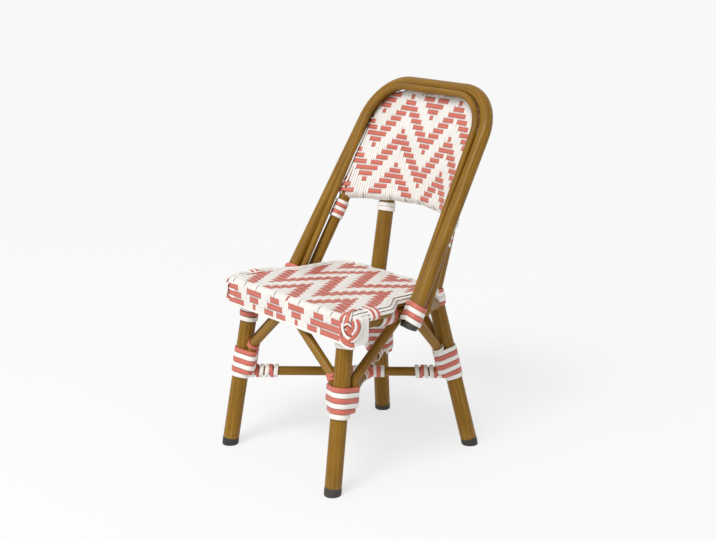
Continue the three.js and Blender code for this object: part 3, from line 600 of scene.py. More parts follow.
def buildFootCaps():
    for word, leg in legs.items():
        bm = newShape()
        addTurned(bm, leg["foot"], leg["axis"], footCap["profile"], footCap["sides"])
        lip, scale = footCap["lip"], footCap["lipScale"]
        cut = bmesh.ops.bisect_plane(bm, geom=bm.verts[:] + bm.edges[:] + bm.faces[:], plane_co=vec(0, 0, lip),
                                     plane_no=vec(0, 0, 1), clear_inner=True)
        rim = [item for item in cut["geom_cut"] if isinstance(item, bmesh.types.BMEdge)]
        x, y = leg["foot"].xy
        narrowed = Matrix.Diagonal((scale, scale, 1, 1)) @ Matrix.Translation(vec(-x, -y, 0))
        inward = Matrix.Translation(vec(x, y, -lip)) @ narrowed
        ring = extrudeRing(bm, rim, bm.verts.layers.float_vector["straight"], 1.0, inward)
        bmesh.ops.edgeloop_fill(bm, edges=ring)
        finishPiece(bm, camelName("foot_cap", word), blackRubber, ["foot_cap_" + word], sharp=40)


# rails, stretchers and braces

def sideRailRoute(hand):
    word = "left" if hand < 0 else "right"
    front, rear = legs["front_" + word], legs["rear_" + word]
    corners = [
        atHeight(front["foot"], front["head"], chair["railHeight"]),
        *(vec(hand * chair["sideRailHalf"], y, chair["railHeight"]) for y in chair["sideRailAlong"]),
        atHeight(rear["foot"], rear["head"], chair["rearRailHeight"]),
    ]
    return bentRoute(corners, [chair["sideRailBend"]] * 2)


def frontRailRoute():
    height, half = chair["frontRailHeight"], chair["frontRailHalf"]
    left, right = (atHeight(legs[word]["foot"], legs[word]["head"], height) for word in ("front_left", "front_right"))
    corners = [left, *(vec(x, chair["frontRailAt"], height) for x in (-half, half)), right]
    return bentRoute(corners, [chair["frontRailBend"]] * 2)


def backRailRoute():
    return [atHeight(legs[w]["foot"], legs[w]["head"], chair["rearRailHeight"]) for w in ("rear_left", "rear_right")]


def stretcherEnd(leg):
    return atHeight(leg["foot"], leg["head"], chair["stretcherHeight"])


frontEnd, rearEnd = stretcherEnd(legs["front_right"]), stretcherEnd(legs["rear_left"])
crossing = frontEnd.lerp(rearEnd, frontEnd.x / (frontEnd.x - rearEnd.x))
braces = {
    "fromLeg": 0.3, "apart": 1.2, "turnUp": 186, "foot": 146, "bend": 16,
    "sideAt": {"front": -7, "rear": 12}, "crossHalf": 20,
}
braceOffset = (chair["legTube"] + chair["braceTube"]) / 2 + braces["fromLeg"]
braceSplay = math.asin((2 * chair["braceTube"] + braces["apart"]) / 2 / braceOffset)
lashing = {
    "foot": 124, "thick": 2.3, "span": 0.2, "cover": 0.97,
    "front": {"pitch": 8.7, "white": 3, "coral": 3}, "rear": {"pitch": 8.25, "white": 4, "coral": 3},
}


def outOfLeg(leg):
    # square to the leg, away from the middle of the chair
    inward = crossing - stretcherEnd(leg)
    return -(inward - leg["axis"] * inward.dot(leg["axis"])).normalized()


def braceWays():
    # the two braces of a leg stand on its inner side, as shares of the way out and the way across
    return [(math.cos(math.pi + t * braceSplay), math.sin(math.pi + t * braceSplay)) for t in (-1, 1)]


def braceRoute(leg, target):
    outer = outOfLeg(leg)
    across = leg["axis"].cross(outer)
    wanted = target - leg["foot"]
    wanted.z = 0
    choices = [outer * away + across * aside for away, aside in braceWays()]
    offset = max(choices, key=lambda one: one.dot(wanted)) * braceOffset
    foot, turn = (atHeight(leg["foot"], leg["head"], height) + offset for height in (braces["foot"], braces["turnUp"]))
    return bentRoute([foot, turn, target], [braces["bend"]])


def buildRails():
    for word, hand in sideOf.items():
        name = "side_rail_" + word
        addPiece(camelName(name), sideRailRoute(hand), chair["railTube"], 32, caneTube, [name])
    ends = {word: stretcherEnd(leg) for word, leg in legs.items()}
    for name, route, size in [
            ("front_rail", frontRailRoute(), chair["frontRailTube"]),
            ("back_rail", backRailRoute(), chair["frontRailTube"]),
            ("stretcher_through", [ends["front_left"], ends["rear_right"]], chair["stretcherTube"]),
            ("stretcher_half_front", [crossing, ends["front_right"]], chair["stretcherTube"]),
            ("stretcher_half_rear", [crossing, ends["rear_left"]], chair["stretcherTube"])]:
        addPiece(camelName(name), route, size, 28, caneThin, [name])


def braceTargets(leg):
    end = "front" if leg["front"] else "rear"
    side = vec(leg["hand"] * chair["sideRailHalf"], braces["sideAt"][end], chair["railHeight"])
    if leg["front"]:
        return side, vec(leg["hand"] * braces["crossHalf"], chair["frontRailAt"], chair["frontRailHeight"])
    return side, vec(leg["hand"] * braces["crossHalf"], backRailRoute()[0].y, chair["rearRailHeight"])


def buildBraces():
    for word, leg in legs.items():
        for kind, target in zip(("side_brace", "cross_brace"), braceTargets(leg)):
            route = braceRoute(leg, target)
            addPiece(camelName(kind, word), route, chair["braceTube"], 28, caneThin, [kind + "_" + word])


# hoops of the back

def hoopRoute(line, foot=0.0):
    head = back["rise"] - line["inset"][1]
    corners = [onStile(line, -1, foot), onStile(line, -1, head), onStile(line, 1, head), onStile(line, 1, foot)]
    bend = back["corner"] - line["inset"][1]
    return bentRoute(corners, [bend, bend], 3.0)


def buildHoops():
    innerFoot = (back["innerFootUp"] + innerLine["depth"][0] * math.sin(back["lean"])) / math.cos(back["lean"])
    footRail = [panelFootAt(back["innerHalf"] * (1 - index / 20)) for index in range(41)]
    for name, node, route, size, sides, tucked in [
            ("backHoop", "back_hoop", hoopRoute(outerLine), chair["hoopTube"], 40, False),
            ("hoopBead", "hoop_bead", hoopRoute(beadLine), chair["beadRod"], 24, False),
            ("innerHoop", "inner_hoop", hoopRoute(innerLine, innerFoot), chair["innerHoopTube"], 36, True),
            ("lowerBackRail", "lower_back_rail", footRail, chair["lowerBackTube"], 32, True)]:
        addPiece(name, route, size, sides, caneTube, [node], tucked=tucked)


plugs = [
    ("hoop_plug", outerLine, [(-7.4, 8.6), (-7.1, 10.4), (-5.8, 11.6), (0.2, 12.0), (0.8, 11.4)]),
    ("bead_cap", beadLine, [(-6.0, 5.6), (-5.7, 6.9), (-4.8, 7.5), (8.2, 7.5), (9.0, 7.0), (9.0, 5.9)]),
]


def stileOf(line, hand, low=0.0, high=back["rise"]):
    # the foot of a stile, its way up, and the way out to its side
    foot = onStile(line, hand, low)
    axis = (onStile(line, hand, high) - foot).normalized()
    return foot, axis, sideways(hand, axis)


def buildPlugs():
    for word, hand in sideOf.items():
        for name, line, profile in plugs:
            bm = newShape()
            foot, axis = stileOf(line, hand)[:2]
            addTurned(bm, foot, axis, profile, 32)
            finishPiece(bm, camelName(name, word), blackRubber, [f"{name}_{word}"], sharp=35)


# seat edge and weave surfaces

seat = {
    "front": 151, "back": 97.5, "frontHalf": 175, "taper": 3, "notchForward": 27, "notchHalf": 139.76,
    "shoulderForward": 62, "frontCorner": 20, "rearCorner": 56, "notchBend": 16, "crown": 3, "apron": 37.5,
    "edge": 10.6, "roll": 9.1, "rollTo": math.pi * 1.15, "rollRun": 14.3, "apronBack": 31,
}


def seatLoop():
    edge = seat["edge"]
    half = [
        vec(0.3, seat["back"] - edge, 0), vec(seat["notchHalf"] - edge, seat["back"] - edge, 0),
        vec(seat["notchHalf"] - edge, -seat["notchForward"], 0),
        vec(seat["frontHalf"] - seat["taper"] - edge, -seat["shoulderForward"], 0),
        vec(seat["frontHalf"] - edge, -seat["front"] + edge, 0),
    ]
    bends = [seat["rearCorner"] - edge, seat["notchBend"], seat["notchBend"], seat["frontCorner"] - edge]
    other = [vec(-point.x, point.y, 0) for point in reversed(half)]
    return bentRoute(half + other, bends + bends[::-1], 4.0)


seatEdge = seatLoop()


def buildSeatRing():
    route = [vec(p.x, p.y, chair["ringHeight"]) for p in seatEdge]
    addPiece("seatRing", route, chair["ringTube"], 24, caneThin, ["seat_ring"])


def outlineOf(points):
    # a closed outline as arrays: places, next places, and which way is out
    loop = np.array([[p.x, p.y] for p in points], float)
    following = np.roll(loop, -1, 0)
    area = 0.5 * np.sum(loop[:, 0] * following[:, 1] - following[:, 0] * loop[:, 1])
    return {"from": loop, "to": following, "turn": 1.0 if area > 0 else -1.0}


def nearestOn(outline, places):
    # for each place: the nearest point of the outline, the way out from it, and the distance
    start, run = outline["from"], outline["to"] - outline["from"]
    size = np.maximum((run ** 2).sum(1), 1e-9)
    rel = places[:, None, :] - start[None]
    share = np.clip((rel * run[None]).sum(2) / size[None], 0, 1)
    near = start[None] + share[..., None] * run[None]
    gap = ((places[:, None, :] - near) ** 2).sum(2)
    best = gap.argmin(1)
    rows = np.arange(len(places))
    point, reach = near[rows, best], np.sqrt(gap[rows, best])
    edge = run[best] / np.sqrt(size[best])[:, None]
    outward = np.stack([edge[:, 1], -edge[:, 0]], 1) * outline["turn"]
    away = places - point
    signed = (away * outward).sum(1)
    outside = signed > 1e-6
    direction = np.where((outside & (reach > 1e-4))[:, None], away / np.maximum(reach, 1e-6)[:, None], outward)
    return point, direction, np.where(outside, reach, 0.0), outside


seatOutline = outlineOf(seatEdge)
apronFrom = -seat["front"] + seat["edge"] + seat["apronBack"]


def seatSpot(places, lift):
    # flat places of the seat, in millimetres, to places in space: over the top, round the ring and down
    point, direction, reach, outside = nearestOn(seatOutline, places)
    base = np.where(outside[:, None], point, places)
    middleY = (seat["back"] - seat["front"]) / 2
    halfDepth = (seat["back"] + seat["front"]) / 2 - seat["edge"]
    acrossShare = np.maximum(0, 1 - (base[:, 0] / (seat["frontHalf"] - seat["edge"])) ** 2)
    depthShare = np.maximum(0, 1 - ((base[:, 1] - middleY) / halfDepth) ** 2)
    crown = seat["crown"] * (acrossShare * depthShare) ** 2
    radius = seat["roll"] + lift
    isApron = base[:, 1] < apronFrom
    angle = np.minimum(reach / seat["roll"], np.where(isApron, math.pi / 2, seat["rollTo"]))
    spare = np.where(isApron, np.maximum(0, reach - seat["roll"] * math.pi / 2), 0)
    x = base[:, 0] + direction[:, 0] * radius * np.sin(angle)
    y = base[:, 1] + direction[:, 1] * radius * np.sin(angle)
    z = chair["ringHeight"] + crown + radius * np.cos(angle) - spare
    return np.stack([x, y, z], 1)


def backLoop():
    topHalf = halfAt(innerLine, back["panelHead"])
    corners = [vec(-back["innerHalf"], back["panelFoot"], 0), vec(-topHalf, back["panelHead"], 0),
               vec(topHalf, back["panelHead"], 0), vec(back["innerHalf"], back["panelFoot"], 0)]
    bend = back["corner"] - innerLine["inset"][1]
    return bentRoute(corners, [bend, bend], 4.0)


backOutline = outlineOf(backLoop())


def backSurface(places):
    # the sheet that joins the middles of the inner hoop and the lower rail
    x, v = places[:, 0], places[:, 1]
    tall = back["panelHead"] - back["panelFoot"]
    sideShare = np.clip(1 - (x / back["innerHalf"]) ** 2, 0, 1)
    up = v + np.maximum(0, back["arch"] * sideShare * (back["panelHead"] - v) / tall)
    lean = back["lean"]
    depth = innerLine["depth"][0] + (innerLine["depth"][1] - innerLine["depth"][0]) * up / back["rise"]
    bulge = back["bulge"] * sideShare * np.clip((back["panelHead"] - up) / tall, 0, 1) ** back["bulgePower"]
    y = -back["footForward"] + up * math.sin(lean) + depth * math.cos(lean) + bulge
    z = chair["hoopFootHeight"] + up * math.cos(lean) - depth * math.sin(lean)
    return np.stack([x, y, z], 1)


def unit(rows):
    return rows / np.maximum(np.linalg.norm(rows, axis=1), 1e-9)[:, None]


def backSpot(places, lift):
    # flat places of the back to places in space: over the sheet and round the inner hoop
    point, direction, reach, outside = nearestOn(backOutline, places)
    base = np.where(outside[:, None], point, places)

    def slope(way):
        return unit(backSurface(base + way * 0.5) - backSurface(base - way * 0.5))

    normal = unit(np.cross(slope(np.array([1.0, 0.0])), slope(np.array([0.0, 1.0]))))
    outward = slope(direction)
    outward = unit(outward - normal * (outward * normal).sum(1)[:, None])
    angle = np.minimum(reach / back["roll"], back["rollTo"])
    swell = direction[:, 0] ** 2 * (2.4 * np.exp(-((angle - 0.75) / 0.5) ** 2) - 1.1 * np.clip(angle - 1.3, 0, 1))
    radius = (back["roll"] + lift + swell)[:, None]
    angle = angle[:, None]
    return backSurface(base) + outward * radius * np.sin(angle) + normal * radius * np.cos(angle)


# the weave

# sway: how far a white strand wanders, two steps of its phase and the length of its waves
weave = {
    "seat": {"pitch": 8.55, "apex": -25.0, "rowPitch": 12.2, "rowFrom": 3, "rowAt": -183.7,
             "columns": (-18, 24), "coralWide": 9.0, "whiteWide": 3.95, "coralStep": 2.2, "whiteStep": 2.3,
             "sway": (0.12, 12.9, 4.1, 23)},
    "back": {"pitch": 8.8, "apex": 68.9, "rowPitch": 11.17, "rowFrom": 0, "rowAt": 385.5,
             "columns": (-25, 10), "coralWide": 7.9, "whiteWide": 4.05, "coralStep": 2.1, "whiteStep": 2.9,
             "sway": (0.14, 7.7, 2.3, 19)},
    "pairShare": 0.245, "lift": 0.72, "thick": 1.15, "cornerFrom": 141, "cornerRows": (127, 112, 112),
    "apronDepth": 43.3, "sideStrands": 13, "sideFrom": 4.4, "sidePitch": 4.5,
}


def isCoral(row, column):
    # the common zigzag: a band three strands wide that climbs and falls, seven columns each way
    along = (column + 7) % 14 - 7
    away = abs(along)
    row %= 6
    return row - 2 <= away <= row or row + 4 <= away <= row + 6


def stepLevel(position, half, spread, levelOf):
    # level of a strand at a place counted in crossings, easing between neighbouring crossings
    nearest = np.round(position)
    offset = position - nearest
    here = levelOf(nearest)
    other = levelOf(nearest + np.sign(offset))
    share = np.clip((np.abs(offset) - half) / spread, 0, 1)
    share = share * share * (3 - 2 * share)
    return here + (other - here) * share * 0.5


class StrandBatch:
    # collects flat strands as grids, then places all their points at once
    def __init__(self):
        self.bm = newShape()
        self.verts, self.flat, self.lift = [], [], []

    def add(self, flatAt, liftAt, length, wide, stepSize, facing, crown, tilt=0.0):
        steps = max(4, int(length / stepSize))
        made = bmesh.ops.create_grid(self.bm, x_segments=steps, y_segments=4, size=1.0)["verts"]
        layer = self.bm.verts.layers.float_vector["straight"]
        along = np.array([(v.co.x + 1) / 2 * length for v in made])
        across = np.array([v.co.y for v in made])
        offset = across * wide / 2 * facing
        self.flat.append(flatAt(along, offset))
        self.lift.append(liftAt(along) - crown * across ** 2 + tilt * across)
        for vert, a, c in zip(made, along, across):
            vert[layer] = vec(c * wide / 2, 0, a)
        self.verts += made

    def place(self, spot):
        places = spot(np.concatenate(self.flat), np.concatenate(self.lift))
        for vert, place in zip(self.verts, places):
            vert.co = place


def rowsAt(data, places):
    return data["rowFrom"] - (places - data["rowAt"]) / data["rowPitch"]


def placeOfRow(data, row):
    return data["rowAt"] + (data["rowFrom"] - row) * data["rowPitch"]


def whiteLevel(column):
    return lambda rows: np.array([-weave["lift"] if isCoral(int(row), column) else weave["lift"] for row in rows])


def coralLevel(row):
    return lambda columns: np.array([weave["lift"] if isCoral(row, int(c)) else -weave["lift"] for c in columns])


def addColumns(batch, data, most, endsOf, over=None):
    # white strands from front to back or up and down, two side by side in each column
    size, columnPhase, partPhase, wave = data["sway"]
    for column in range(*data["columns"]):
        for part in (-1, 1):
            x = data["apex"] + data["pitch"] * column + part * data["pitch"] * weave["pairShare"]
            if abs(x) > most:
                continue
            start, end = endsOf(x)
            sway = size * math.sin(column * columnPhase + part * partPhase)

            def flatAt(along, offset):
                return np.stack([x + offset + sway * np.sin(along / wave + x), start + along], 1)

            def liftAt(along):
                rows = rowsAt(data, start + along)
                level = stepLevel(rows, 0.22, 0.28, whiteLevel(column))
                return over(x, rows, level) if over else level

            batch.add(flatAt, liftAt, end - start, data["whiteWide"], data["whiteStep"], -1, 0.3, tilt=0.05 * part)


def addRow(batch, data, row, reach, flatAt, over=None):
    # one coral strand from side to side, counted from its middle
    def liftAt(along):
        level = stepLevel((along - reach - data["apex"]) / data["pitch"], 0.3, 0.2, coralLevel(row))
        return over(along - reach, level) if over else level

    batch.add(lambda along, offset: flatAt(along - reach, offset), liftAt,
              2 * reach, data["coralWide"], data["coralStep"], 1, 0.2)


def finishWeave(batch, spot, name, word, node):
    batch.place(spot)
    piece = finishPiece(batch.bm, name, weaveStrands[word], [node], recalc=False, sharp=180,
                        tucked=spot is backSpot)
    wall = piece.modifiers.new("strandWall", "SOLIDIFY")
    wall.thickness = weave["thick"] / 1000
    wall.offset = 0.0


def crossingsOf(at, along, other):
    # where the seat's middle line meets a line at one measure, by its other measure
    found = []
    for a, b in zip(seatEdge, seatEdge[1:] + seatEdge[:1]):
        if (a[along] - at) * (b[along] - at) <= 0 and abs(a[along] - b[along]) > 1e-6:
            found.append(a[other] + (b[other] - a[other]) * (at - a[along]) / (b[along] - a[along]))
    return found


def cornerStart(row, side):
    # from here on the coral rows of the front edge lie over the white strands, up to the corner
    return weave["cornerFrom"] if side < 0 else weave["cornerRows"][row - 1]


def buildSeatWeave():
    data = weave["seat"]

    def endsOf(x):
        ends = crossingsOf(x, 0, 1)
        low, high = min(ends), max(ends)
        return low - seat["rollRun"] - seat["apron"] + 1.2, high + (30 if high > 60 else 10)

    def underCorners(x, rows, level):
        for row in (1, 2, 3):
            if abs(x) > cornerStart(row, x):
                level = np.where(np.round(rows) == row, -weave["lift"], level)
        return level

    whites = StrandBatch()
    addColumns(whites, data, seat["frontHalf"] - seat["edge"] - 3, endsOf, underCorners)
    finishWeave(whites, seatSpot, "seatWeaveWhite", "white", "woven_seat")
    corals = StrandBatch()
    rearEdge = seat["back"] - seat["edge"]
    for row in range(-18, 1):
        y = placeOfRow(data, row)
        if y <= rearEdge + 6:
            reach = max((abs(x) for x in crossingsOf(min(y, rearEdge - 1), 1, 0)), default=0.0) + 9
            addRow(corals, data, row, reach, lambda u, offset: np.stack([u, y + offset], 1))
    reach = apronReach()
    for row in (1, 2, 3):
        depth = weave["apronDepth"] - (3 - row) * data["rowPitch"]

        def overCorners(u, level):
            away = np.abs(u)
            start = np.where(u > 0, cornerStart(row, 1), cornerStart(row, -1))
            level = np.where(away > start, weave["lift"], level)
            return level - 5 * np.clip((away - reach + 5) / 5, 0, 1) ** 2

        addRow(corals, data, row, reach, lambda u, offset: apronFlat(u, depth - offset), overCorners)
    finishWeave(corals, seatSpot, "seatWeaveCoral", "coral", "woven_seat")


def apronReach(side=20):
    return seat["frontHalf"] - seat["frontCorner"] + (seat["frontCorner"] - seat["edge"]) * math.pi / 2 + side


def apronFlat(u, out):
    # along the front edge from its middle and round the corners, at a distance outside it
    cornerX = seat["frontHalf"] - seat["frontCorner"]
    bend = seat["frontCorner"] - seat["edge"]
    over = np.maximum(0, np.abs(u) - cornerX)
    turn = np.minimum(over / bend, math.pi / 2)
    run = np.maximum(0, over - bend * math.pi / 2)
    x = np.sign(u) * (np.minimum(np.abs(u), cornerX) + (bend + out) * np.sin(turn))
    y = -seat["front"] + seat["edge"] + bend - (bend + out) * np.cos(turn) + run
    return np.stack([x, y], 1)


def buildBackWeave():
    data = weave["back"]
    foot, head, innerHalf = back["panelFoot"], back["panelHead"], back["innerHalf"]
    topHalf = halfAt(innerLine, head)
    bend = back["corner"] - innerLine["inset"][1]
    bendFrom, taper = head - bend, (innerHalf - topHalf) / (head - foot)

    def endsOf(x):
        top = head
        if abs(x) >= topHalf - bend:
            inside = clamp((abs(x) - topHalf + bend) / bend)
            top = bendFrom + bend * math.sqrt(max(0, 1 - inside ** 2))
        if abs(x) > topHalf - 2:
            top = min(top, max(foot + 6, foot + max(0, innerHalf - abs(x)) / taper))
        return foot - back["rollReach"], top + back["rollReach"]

    whites = StrandBatch()
    addColumns(whites, data, innerHalf - 2, endsOf)
    low = foot - 10
    for hand in (-1, 1):
        for number in range(weave["sideStrands"]):
            away = weave["sideFrom"] + weave["sidePitch"] * number

            def flatAt(along, offset):
                half = innerHalf + (topHalf - innerHalf) * (low + along - foot) / (head - foot)
                return np.stack([hand * (half + away) + offset, low + along], 1)

            whites.add(flatAt, lambda along: np.full(len(along), 0.15), bendFrom - low + 6, 4.3, 6.0, -1, 0.2)
    finishWeave(whites, backSpot, "backWeaveWhite", "white", "woven_back")
    corals = StrandBatch()
    for row in range(0, 18):
        v = placeOfRow(data, row)
        if v < foot - 4:
            continue
        inner = mix(innerHalf, topHalf, (v - foot) / (head - foot))
        if v > bendFrom:
            inner = topHalf - bend + math.sqrt(max(0, bend ** 2 - (v - bendFrom) ** 2))
        addRow(corals, data, row, inner + back["rollReach"], lambda u, offset: np.stack([u, v + offset], 1))
    finishWeave(corals, backSpot, "backWeaveCoral", "coral", "woven_back")


# lashings
turnSteps = 40  # stations in one turn of a wound strand


def strandRing(bm, layer, matrix, wide, thick):
    # a flat strand's rounded section: a circle that is pressed flat
    verts = bmesh.ops.create_circle(bm, segments=12, radius=1.0, matrix=Matrix())["verts"]
    for vert in verts:
        x, y = vert.co.x, vert.co.y
        flatX = math.copysign(abs(x) ** 0.55, x)
        flatY = math.copysign(abs(y) ** 0.75, y)
        vert[layer] = vec(flatX * wide / 2, flatY * thick / 2, 0)
        vert.co = matrix @ vec(flatX * wide / 2, flatY * thick / 2, 0)
    return verts


def addStrand(bm, stations, wide, thick, offset=0.0):
    # stations are (place, out) pairs: x of the section lies across, y points out
    layer = bm.verts.layers.float_vector["straight"]
    frames = []
    for index, (place, out) in enumerate(stations):
        before = stations[max(index - 1, 0)][0]
        after = stations[min(index + 1, len(stations) - 1)][0]
        forward = (after - before).normalized()
        out = (out - forward * out.dot(forward)).normalized()
        frames.append(matrixOf(place, out.cross(forward), out, forward))
    verts = strandRing(bm, layer, frames[0], wide, thick)
    for vert in verts:
        vert[layer] = vert[layer] + vec(0, 0, offset)
    ring = edgesOf(verts)
    bmesh.ops.edgeloop_fill(bm, edges=ring)
    for index in range(1, len(frames)):
        step = (stations[index][0] - stations[index - 1][0]).length
        ring = extrudeRing(bm, ring, layer, step, frames[index] @ frames[index - 1].inverted())
    bmesh.ops.edgeloop_fill(bm, edges=ring)


def woundStations(origin, axis, outer, bundle, level, turns,
                  first=math.pi, clear=0.4, thick=2.3, wobble=0.12, sink=2.0):
    # a strand drawn tight round a bundle of tubes: level gives its place along the axis,
    # bundle the middles and radii of the tubes across the axis, both may change along the way
    across = axis.cross(outer)
    count, steps = int(turns * turnSteps), turnSteps
    stations = []
    for index in range(count + 1):
        turn = first + 2 * math.pi * index / steps
        height = level(index / steps)
        tubes = bundle(height) if callable(bundle) else bundle
        out = outer * math.cos(turn) + across * math.sin(turn)
        best = max(tubes, key=lambda tube: tube[0] * math.cos(turn) + tube[1] * math.sin(turn) + tube[2])
        ends = min(index, count - index) / (steps * 0.1)
        radius = best[2] + clear + thick / 2 - sink * (1 - min(1, ends)) ** 2 + wobble * math.sin(turn * 1.7 + origin.x)
        place = origin + axis * (height + wobble * math.sin(turn * 0.83 + origin.y + height))
        stations.append((place + outer * best[0] + across * best[1] + out * radius, out))
    return stations


def steppedLevel(start, pitch, span=0.2):
    # level turns that climb to the next one only at the end of each turn
    def level(turns):
        loop = math.floor(turns + 1e-6)
        return start + pitch * (loop + smoothShare(turns - loop, 1 - span, 1))
    return level


# tubes in a bundle: the way out, the way across and the radius
legBundle = [(0, 0, chair["legTube"] / 2)]
thinBundle = [(0, 0, chair["stretcherTube"] / 2)]
railBundle = [(0, 0, chair["railTube"] / 2)]
innerBundle = [(0, 0, chair["innerHoopTube"] / 2)]


def slantedLevel(middle, slant, swing=math.cos):
    return lambda turns: middle + slant * swing(2 * math.pi * turns)


def addWound(bm, section, base, bundle, level, turns, **ways):
    # section is a strand's width and thickness, base the origin, the axis and the way out from it
    addStrand(bm, woundStations(*base, bundle, level, turns, **ways), *section)


def newPair():
    return {"coral": newShape(), "white": newShape()}


def finishPair(shapes, name, nodes, tucked=False):
    # nodes gives the solids that the strands of each colour stand for
    for word, own in nodes.items():
        finishPiece(shapes[word], camelName(word, name), strands[word], own, sharp=60, tucked=tucked)


def bracedBundle(height):
    # the feet of the two braces stand beside the leg, and the bundle gets slimmer below them
    share = smoothShare(height, lashing["foot"], braces["foot"] + 1)
    reach = braceOffset * (0.5 + 0.5 * share)
    return legBundle + [(reach * away, reach * aside, 4 + 4 * share) for away, aside in braceWays()]


def buildLegLashings():
    for word, leg in legs.items():
        base = leg["foot"], leg["axis"], outOfLeg(leg)
        shapes = newPair()
        plan = lashing["front" if leg["front"] else "rear"]
        pitch, span = plan["pitch"], lashing["span"]
        for index, colour in enumerate(("white", "coral")):
            level = steppedLevel(lashing["foot"] / leg["axis"].z + pitch * (index + 0.5), 2 * pitch, span)
            addWound(shapes[colour], (pitch * lashing["cover"], lashing["thick"]), base, bracedBundle, level,
                     plan[colour], first=math.pi * (1 + span))
        addStretcherWraps(leg, shapes)
        addBraceWraps(leg, shapes)
        name = "leg_lashing_" + word
        finishPair(shapes, "lashing_" + word, {
            "coral": [name + "_coral", "stretcher_wrap_" + word], "white": [name + "_white"]})


stretcherWrap = {
    "start": 17.5, "stripes": ["white", "coral", "white", None, "white", "coral", "white"], "wide": 7.4, "gap": 2.2,
    "thick": 2.4, "clear": 1.7, "between": 0.25, "slants": (-1.2, 1.6),
}
braceWrap = {
    "front": ("coral", 2.3), "rear": ("white", 1.2),  # colour and turns
    "from": 36, "pitch": 4.6, "radius": 9.3, "section": (5.2, 2.0),
}


def addStretcherWraps(leg, shapes):
    origin = stretcherEnd(leg)
    base = origin, (crossing - origin).normalized(), vec(0, 0, 1)
    at, wide = stretcherWrap["start"], stretcherWrap["wide"]
    for index, colour in enumerate(stretcherWrap["stripes"]):
        if colour is None:
            at += stretcherWrap["gap"]
            continue
        level = slantedLevel(at + wide / 2, stretcherWrap["slants"][index % 2])
        addWound(shapes[colour], (wide, stretcherWrap["thick"]), base, thinBundle, level, 1.04,
                 clear=stretcherWrap["clear"], thick=2.0, sink=2.6)
        at += wide + stretcherWrap["between"]


def addBraceWraps(leg, shapes):
    # short turns round the brace that the photograph shows tied where it leaves the lashing
    side, cross = braceTargets(leg)
    route = braceRoute(leg, cross if leg["front"] else side)
    colour, turns = braceWrap["front" if leg["front"] else "rear"]
    stations = aroundRoute(route, braceWrap["from"], braceWrap["pitch"], turns, braceWrap["radius"], leg["hand"])
    addStrand(shapes[colour], stations, *braceWrap["section"])


# two single rings and a strand of two turns above them, by their heights
frontWraps = {
    "front_left": {"rings": [("coral", 236.2), ("white", 227.4)], "double": ("white", 244.8)},
    "front_right": {"rings": [("white", 248.6), ("white", 240.9)], "double": ("coral", 257.2)},
}


def buildFrontLegWraps():
    for word, plan in frontWraps.items():
        leg = legs[word]
        base = leg["foot"], leg["axis"], outOfLeg(leg)
        shapes = newPair()
        for colour, up in plan["rings"]:
            level = steppedLevel(up / leg["axis"].z, 1.2)
            addWound(shapes[colour], (8.0, 2.3), base, legBundle, level, 1.05, wobble=0.2)
        colour, up = plan["double"]
        addWound(shapes[colour], (7.8, 2.3), base, legBundle, steppedLevel(up / leg["axis"].z, 8.2), 2.05)
        finishPair(shapes, "wrap_" + word, {"white": ["leg_wrap_" + word], "coral": ()})


def alongRoute(route, way):
    index = 0
    while index < len(route) - 2 and way > (route[index + 1] - route[index]).length:
        way -= (route[index + 1] - route[index]).length
        index += 1
    axis = (route[index + 1] - route[index]).normalized()
    return route[index] + axis * way, axis


def aroundRoute(route, startWay, pitch, turns, radius, hand, tilt=0.0):
    # a strand round a bent tube; tilt swings it to and fro along the tube once a turn
    count = int(turns * turnSteps)
    stations = []
    for index in range(count + 1):
        turn = math.pi + 2 * math.pi * index / turnSteps
        place, axis = alongRoute(route, startWay + pitch * index / turnSteps + tilt * math.cos(turn))
        outer = sideways(hand, axis)
        out = outer * math.cos(turn) + axis.cross(outer) * math.sin(turn)
        ends = min(index, count - index) / (turnSteps * 0.12)
        stations.append((place + out * (radius - 2.0 * (1 - min(1, ends)) ** 2), out))
    return stations


# each ring: colour, way from the joint, tilt, radius and width
kneeWraps = {
    "from": 225, "headAt": (-31, -23), "headSection": (7.6, 2.2),
    "rings": [("coral", 23, 1.0, 15.5, 6.6), ("coral", 1, -1.0, 15.5, 7.0), ("white", 12, 0.5, 15.3, 9.0),
              ("white", 11.5, 5.5, 16.4, 6.6), ("white", 12.5, -5.5, 17.6, 6.6)],
}


def buildKneeWraps():
    for handWord, hand in sideOf.items():
        leg = legs["rear_" + handWord]
        route = [atHeight(leg["foot"], leg["head"], kneeWraps["from"])] + leg["route"][1:]
        shapes = newPair()
        joint = (chair["rearRailHeight"] - kneeWraps["from"]) / leg["axis"].z
        for colour, way, tilt, radius, wide in kneeWraps["rings"]:
            addStrand(shapes[colour], aroundRoute(route, joint + way, 0.8, 1.04, radius, hand, tilt), wide, 2.3)
        finishPair(shapes, "knee_" + handWord, {"coral": ["knee_wrap_" + handWord], "white": ()})
        # turns just under the lower rail of the back
        bm = newShape()
        top = leg["route"][-1]
        axis = (top - leg["route"][-2]).normalized()
        for height in kneeWraps["headAt"]:
            addWound(bm, kneeWraps["headSection"], (top, axis, sideways(hand, axis)), legBundle,
                     steppedLevel(height, 0.8), 1.04, first=math.pi / 2 * hand)
        finishPiece(bm, camelName("head_wrap", handWord), strands["white"], ["head_wrap_" + handWord],
                    sharp=60)


hoopFoot = {
    "start": 2.4, "pitch": 8.2, "section": (8.0, 2.6), "clear": 2.0, "slant": 3.4,
    "railFrom": -51, "railPitch": 7.8, "railSlant": 5.0, "railSection": (7.6, 2.2),
    "capHeight": 9, "capRadius": 7.4, "beadRadius": 5.75,
}


